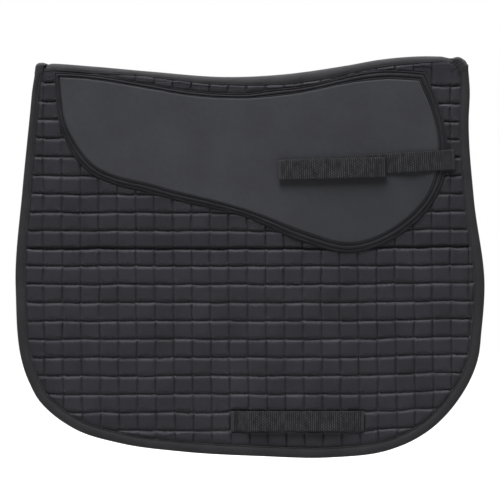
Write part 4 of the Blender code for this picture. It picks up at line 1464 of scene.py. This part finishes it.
def addWeb(draft, line, slopeOf, ribs=True, width=web["width"], ply=web["ply"], hems=()):
    # line: (x, z, depth) centre points; the web's width runs upward, square to the slope
    # hems: (from, to, thicker, darker) stretches along the web, measured from its start; thicker ones are
    # smooth and get the painted hem highlight, darker ones get painted shade
    places, ways = along(line, web["ribPitch"] / web["stepsPerRib"])
    shares, lifts = web["shares"], web["lifts"]
    rows, marks, shades = [], [], []
    for i, (place, way) in enumerate(zip(places, ways)):
        slope = slopeOf(place)
        run = i * web["ribPitch"] / web["stepsPerRib"]
        thicker, darker, flat = 0.0, 0.0, not ribs
        for start, end, thick, dark in hems:
            if start <= run <= end:
                thicker, darker, flat = thick, dark, flat or thick > 0
        upward = Vector((-sin(slope), cos(slope), 0))
        out = upward.cross(Vector(way)).normalized()
        rib = abs(sin(pi * i / web["stepsPerRib"])) ** web["ribRound"] - web["ribLevel"]
        rise = web["ribRise"] * rib + thicker if ribs else thicker
        front, back = [], []
        rank = [share * width / web["fleck"] + 0.5 * (i // web["stepsPerRib"] % 2) for share in shares]
        plain = web["hemMark"] if thicker else web["plainMark"]
        chart = [(plain, 0.25) if flat else (i / web["stepsPerRib"], level) for level in rank]
        marks += chart + chart[-2:0:-1]
        # painted shade along the edges and on darker hems
        face = [max(darker, web["edgeDark"] * (lift == 0)) for lift in lifts]
        shades.append(face + [darker] * (len(shares) - 2))
        for share, lift in zip(shares, lifts):
            centre = Vector(place) + upward * (share * width)
            half = (ply / 2 - 0.0001) * lift + rise * (0.3 + 0.7 * lift) * (lift > 0)
            front.append(tuple(centre + out * half))
            if 0 < lift:
                back.append(tuple(centre - out * half))
        rows.append(front + back[::-1])
    base = addTube(draft, rows, shades=shades)
    draft["chart"].update(enumerate(marks, base))


def makeGirthLoop(side):
    draft = newDraft()
    ply = web["ply"] + girthLoop["air"]
    under = girthLoop["foot"] + web["ply"] / 2
    over = under + ply
    rear = girthLoop["rearX"]
    turnX = rear + girthLoop["turn"]
    z = girthLoop["z"]
    line = [(turnX, z, under)]
    centre = rear + web["ply"] / 2 + ply / 2
    for k in range(11):
        angle = -pi / 2 - pi * k / 10
        line.append((centre + ply / 2 * cos(angle), z, under + ply / 2 + ply / 2 * sin(angle)))
    for k in range(17):
        t = k / 16
        lift = (1 - cos(pi * t)) / 2
        line.append((turnX + girthLoop["ramp"] * t, z, over + (girthLoop["raised"] - over) * lift))
    middle = 2 * rear + girthLoop["length"]
    line += [(middle - x, level, d) for x, level, d in reversed(line)]
    turned = girthLoop["turn"] - 0.0005  # the run from the hidden end to the fold
    whole = lineLength(line)
    hems = [(turned + a, turned + b, thick, dark) for a, b, thick, dark in girthLoop["rearHems"]]
    back = whole - turned
    hems += [(back - b, back - a, thick, dark) for a, b, thick, dark in girthLoop["frontHems"]]
    addWeb(draft, line, lambda place: 0.0, width=girthLoop["width"], hems=hems)
    out = over + web["ply"] / 2 + thread["proud"]
    reach = girthLoop["seamHalf"] * girthLoop["width"]
    for inset in girthLoop["seams"]:
        for x in (rear + inset, middle - rear - inset):
            addStitches(draft, [(x, z - reach, out), (x, z + reach, out)], 1, *web["bartack"])
    piece = makePiece(side + "_girthWeb", side, draft, "webbing", "sewingThread")
    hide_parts(side + "_girth_loop")
    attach(piece, side + "_side")


def rimOf(sheet):
    sheetEnd = [row[-1] for row in sheet[1:-1]]
    return sheet[0] + sheetEnd + sheet[-1][::-1] + [row[0] for row in sheet[-2:0:-1]]


def strapPlace(x, d):  # a place on the strap's middle line, d out, with the strap's bow
    rearX, frontX, bow = strap["bow"]
    share = float(np.clip((x - rearX) / (frontX - rearX), 0, 1))
    return (x, strap["hingeZ"] + (x - strap["hingeX"]) * tan(strap["slope"]), d + bow * sin(pi * share) ** 2)


def tailPlace(x, d):
    return (x, strap["tailZ"] + (x - strap["tailX"]) * tan(strap["tailSlope"]), d)


strapMid = (depth["strapIn"] + depth["strapOut"]) / 2
tailMid = (depth["tailIn"] + depth["tailOut"]) / 2


def makeBilletStrap(side):
    draft = newDraft()
    hinge = strap["hingeX"]
    line = [strapPlace(x, strapMid) for x in np.linspace(hinge + strap["plain"], strap["splice"], 60)]
    addWeb(draft, line, lambda place: strap["slope"])
    plainEnd = np.linspace(hinge + strap["sewn"], hinge + strap["plain"] - strap["gap"], 12)
    line = [strapPlace(x, strapMid) for x in plainEnd]
    wide = web["width"] + strap["sewnWider"]
    addWeb(draft, line, lambda place: strap["slope"], False, wide, hems=strap["sewnHems"])
    sewnRear, sewnFront = hinge + strap["boxIn"][0], hinge + strap["sewn"] - strap["boxIn"][1]
    out = depth["strapOut"] + thread["proud"]
    high, low = strap["boxHalf"], -strap["boxHalf"]
    corners = [(sewnRear, low), (sewnRear, high), (sewnFront, high), (sewnFront, low), (sewnRear, low)]
    for (xa, za), (xb, zb) in zip(corners, corners[1:]):
        a, b = strapPlace(xa, out), strapPlace(xb, out)
        addStitches(draft, [(a[0], a[1] + za, out), (b[0], b[1] + zb, out)], 1, *web["bartack"])
    piece = makePiece(side + "_strapWeb", side, draft, "webbing", "sewingThread")
    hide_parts(side + "_strap_end", side + "_billet_strap")
    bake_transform(piece)


def turnedSlope(place):  # the slope runs over from the strap's to the tail's round the fold
    share = float(np.clip((place[2] - strapMid) / (tailMid - strapMid), 0, 1))
    return strap["slope"] * (1 - share) + strap["tailSlope"] * share


def makeTail(side):
    draft = newDraft()
    start = strap["splice"] + strap["gap"]
    line = [strapPlace(x, strapMid) for x in np.linspace(start, strap["tailX"], 20)]
    radius = (tailMid - strapMid) / 2
    foldStart = lineLength(line)
    for k in range(1, 12):
        angle = -pi / 2 - pi * k / 12
        x, d = strap["tailX"] + radius * cos(angle), strapMid + radius + radius * sin(angle)
        line.append((x, strap["tailZ"], d))
    line += [tailPlace(x, tailMid) for x in np.linspace(strap["tailX"], strap["tailX"] + strap["tail"], 60)]
    whole = lineLength(line)
    hems = [(whole - a, whole - b, thick, dark) for a, b, thick, dark in strap["tipHems"]]
    foldEnd = foldStart + pi * radius + strap["foldPast"]
    hems.append((foldStart + pi / 2 * radius, foldEnd, strap["foldHem"], 0.0))
    addWeb(draft, line, turnedSlope, hems=hems)
    piece = makePiece(side + "_tailWeb", side, draft, "webbing")
    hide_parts(side + "_strap_fold", side + "_strap_tail")
    if sides[side] > 0:
        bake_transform(piece)
    else:
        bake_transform(piece)


def makeClosure(side):
    tuftSize = strap["tuftSize"]
    low, middle, varied = strap["pile"]
    closureX = strap["tailX"] + strap["inset"]
    tipX = strap["tailX"] + strap["tail"] - strap["inset"]
    loopRun, hookRun = (closureX, closureX + strap["loopLength"]), (tipX - strap["hookLength"], tipX)
    for name, body, placeAt, (x0, x1), (foot, top) in (
        ("loop", "_strap", strapPlace, loopRun, strap["loopDepths"]),
        ("hook", "_tail", tailPlace, hookRun, strap["hookDepths"]),
    ):
        draft = newDraft()
        columns, ranks = int((x1 - x0) / strap["tuftPitch"]), strap["ranks"]
        face = []
        for i in range(columns + 1):
            row = []
            for j in range(ranks + 1):
                x, z, _ = placeAt(x0 + (x1 - x0) * i / columns, 0)
                z += strap["closureWidth"] * (j / ranks - 0.5)
                rim = i in (0, columns) or j in (0, ranks)
                tuft = 0.0 if rim else noise.noise(Vector((x / tuftSize, z / tuftSize, 2.0)))
                row.append((x, z, foot + (top - foot) * (low if rim else middle + varied * tuft)))
            face.append(row)
        back = [[(x, z, foot) for x, z, _ in row] for row in face]
        addRows(draft, face)
        addRows(draft, back)
        addRows(draft, [rimOf(face), rimOf(back)], ringColumns=True)
        piece = makePiece(side + "_" + name + "Pile", side, draft, "closurePile", merge=0.00001)
        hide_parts(side + "_" + name + "_tape")
        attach(piece, side + body)


onBothSides("webbing", makeGirthLoop, makeBilletStrap, makeTail, makeClosure)

# Stage: a pale floor below the pad and soft studio light from above the camera.
studio = {
    "floorZ": -0.60,
    "floorSize": 6.0,
    "floorLift": 0.80,
    "paper": (0.50, 0.53),
    "fadeOut": (0.6, 2.2),  # between these distances the paper fades into the white backdrop
    "keyPlace": (-0.30, -0.88, 2.30),
    "keyPower": 24.0,
    "backPlace": (0.30, 0.88, 2.30),
    "backPower": 15.0,
    "lampSize": 1.6,
    "spread": radians(70),
    "worldLight": 0.08,
    "cameraY": -4.0,
    "middleZ": -0.2377,
    "viewWidth": 0.6915,
    "coverY": -0.003,
    "sensor": 36.0,
}


def makeFloor():
    shape = bmesh.new()
    bmesh.ops.create_grid(shape, x_segments=8, y_segments=8, size=studio["floorSize"])
    mesh = bpy.data.meshes.new("paleFloor")
    shape.to_mesh(mesh)
    shape.free()
    pale = bpy.data.materials.new("palePaper")
    pale.use_nodes = True
    tree = pale.node_tree
    shader = tree.nodes["Principled BSDF"]
    shader.inputs["Roughness"].default_value = 0.9
    shader.inputs["Emission Color"].default_value = (1, 1, 1, 1)
    place = addNode(tree, "TexCoord", output="Object")
    away = addNode(tree, "VectorMath", {0: place}, "Value", operation="LENGTH")
    lift = addRange(away, *studio["fadeOut"], studio["floorLift"], 1.0)
    tree.links.new(times(backdropRays(tree), lift), shader.inputs["Emission Strength"])
    mottle = addNode(tree, "TexNoise", {"Scale": 3.0}, "Fac")
    dark, light = studio["paper"]
    paper = addRamp(mottle, (0.0, (dark, dark, dark)), (1.0, (light, light, light)))
    tree.links.new(paper, shader.inputs["Base Color"])
    mesh.materials.append(pale)
    floorPiece = bpy.data.objects.new("paleFloor", mesh)
    floorPiece.location.z = studio["floorZ"]
    bpy.context.scene.collection.objects.link(floorPiece)


def makeWorld():
    world = bpy.data.worlds.new("studioWhite")
    bpy.context.scene.world = world
    world.use_nodes = True
    tree = world.node_tree
    light = tree.nodes["Background"]
    light.inputs["Color"].default_value = (1, 1, 1, 1)
    light.inputs["Strength"].default_value = studio["worldLight"]
    white = addNode(tree, "Background", {"Color": (1, 1, 1, 1), "Strength": 1.0})
    shown = {"Fac": backdropRays(tree), 1: light.outputs["Background"], 2: white}
    tree.links.new(addNode(tree, "MixShader", shown), tree.nodes["World Output"].inputs["Surface"])


def addLamp(name, place, power):
    lamp = bpy.data.lights.new(name, "AREA")
    lamp.shape = "SQUARE"
    lamp.size = studio["lampSize"]
    lamp.energy = power
    lamp.spread = studio["spread"]
    holder = bpy.data.objects.new(name, lamp)
    holder.location = place
    aim = Vector((0, 0, studio["middleZ"])) - Vector(place)
    holder.rotation_euler = aim.to_track_quat("-Z", "Y").to_euler()
    bpy.context.scene.collection.objects.link(holder)


def addCamera():
    lens = bpy.data.cameras.new("catalogueCamera")
    lens.sensor_width = studio["sensor"]
    lens.lens = studio["sensor"] * (studio["coverY"] - studio["cameraY"]) / studio["viewWidth"]
    lens.clip_end = 100
    camera = bpy.data.objects.new("catalogueCamera", lens)
    camera.location = (0, studio["cameraY"], studio["middleZ"])
    camera.rotation_euler = (pi / 2, 0, 0)
    bpy.context.scene.collection.objects.link(camera)
    bpy.context.scene.camera = camera


bpy.context.scene.view_settings.view_transform = "Standard"
makeFloor()
makeWorld()
addLamp("keyLamp", studio["keyPlace"], studio["keyPower"])
addLamp("backLamp", studio["backPlace"], studio["backPower"])
addCamera()
print("stage: floor, light and camera")
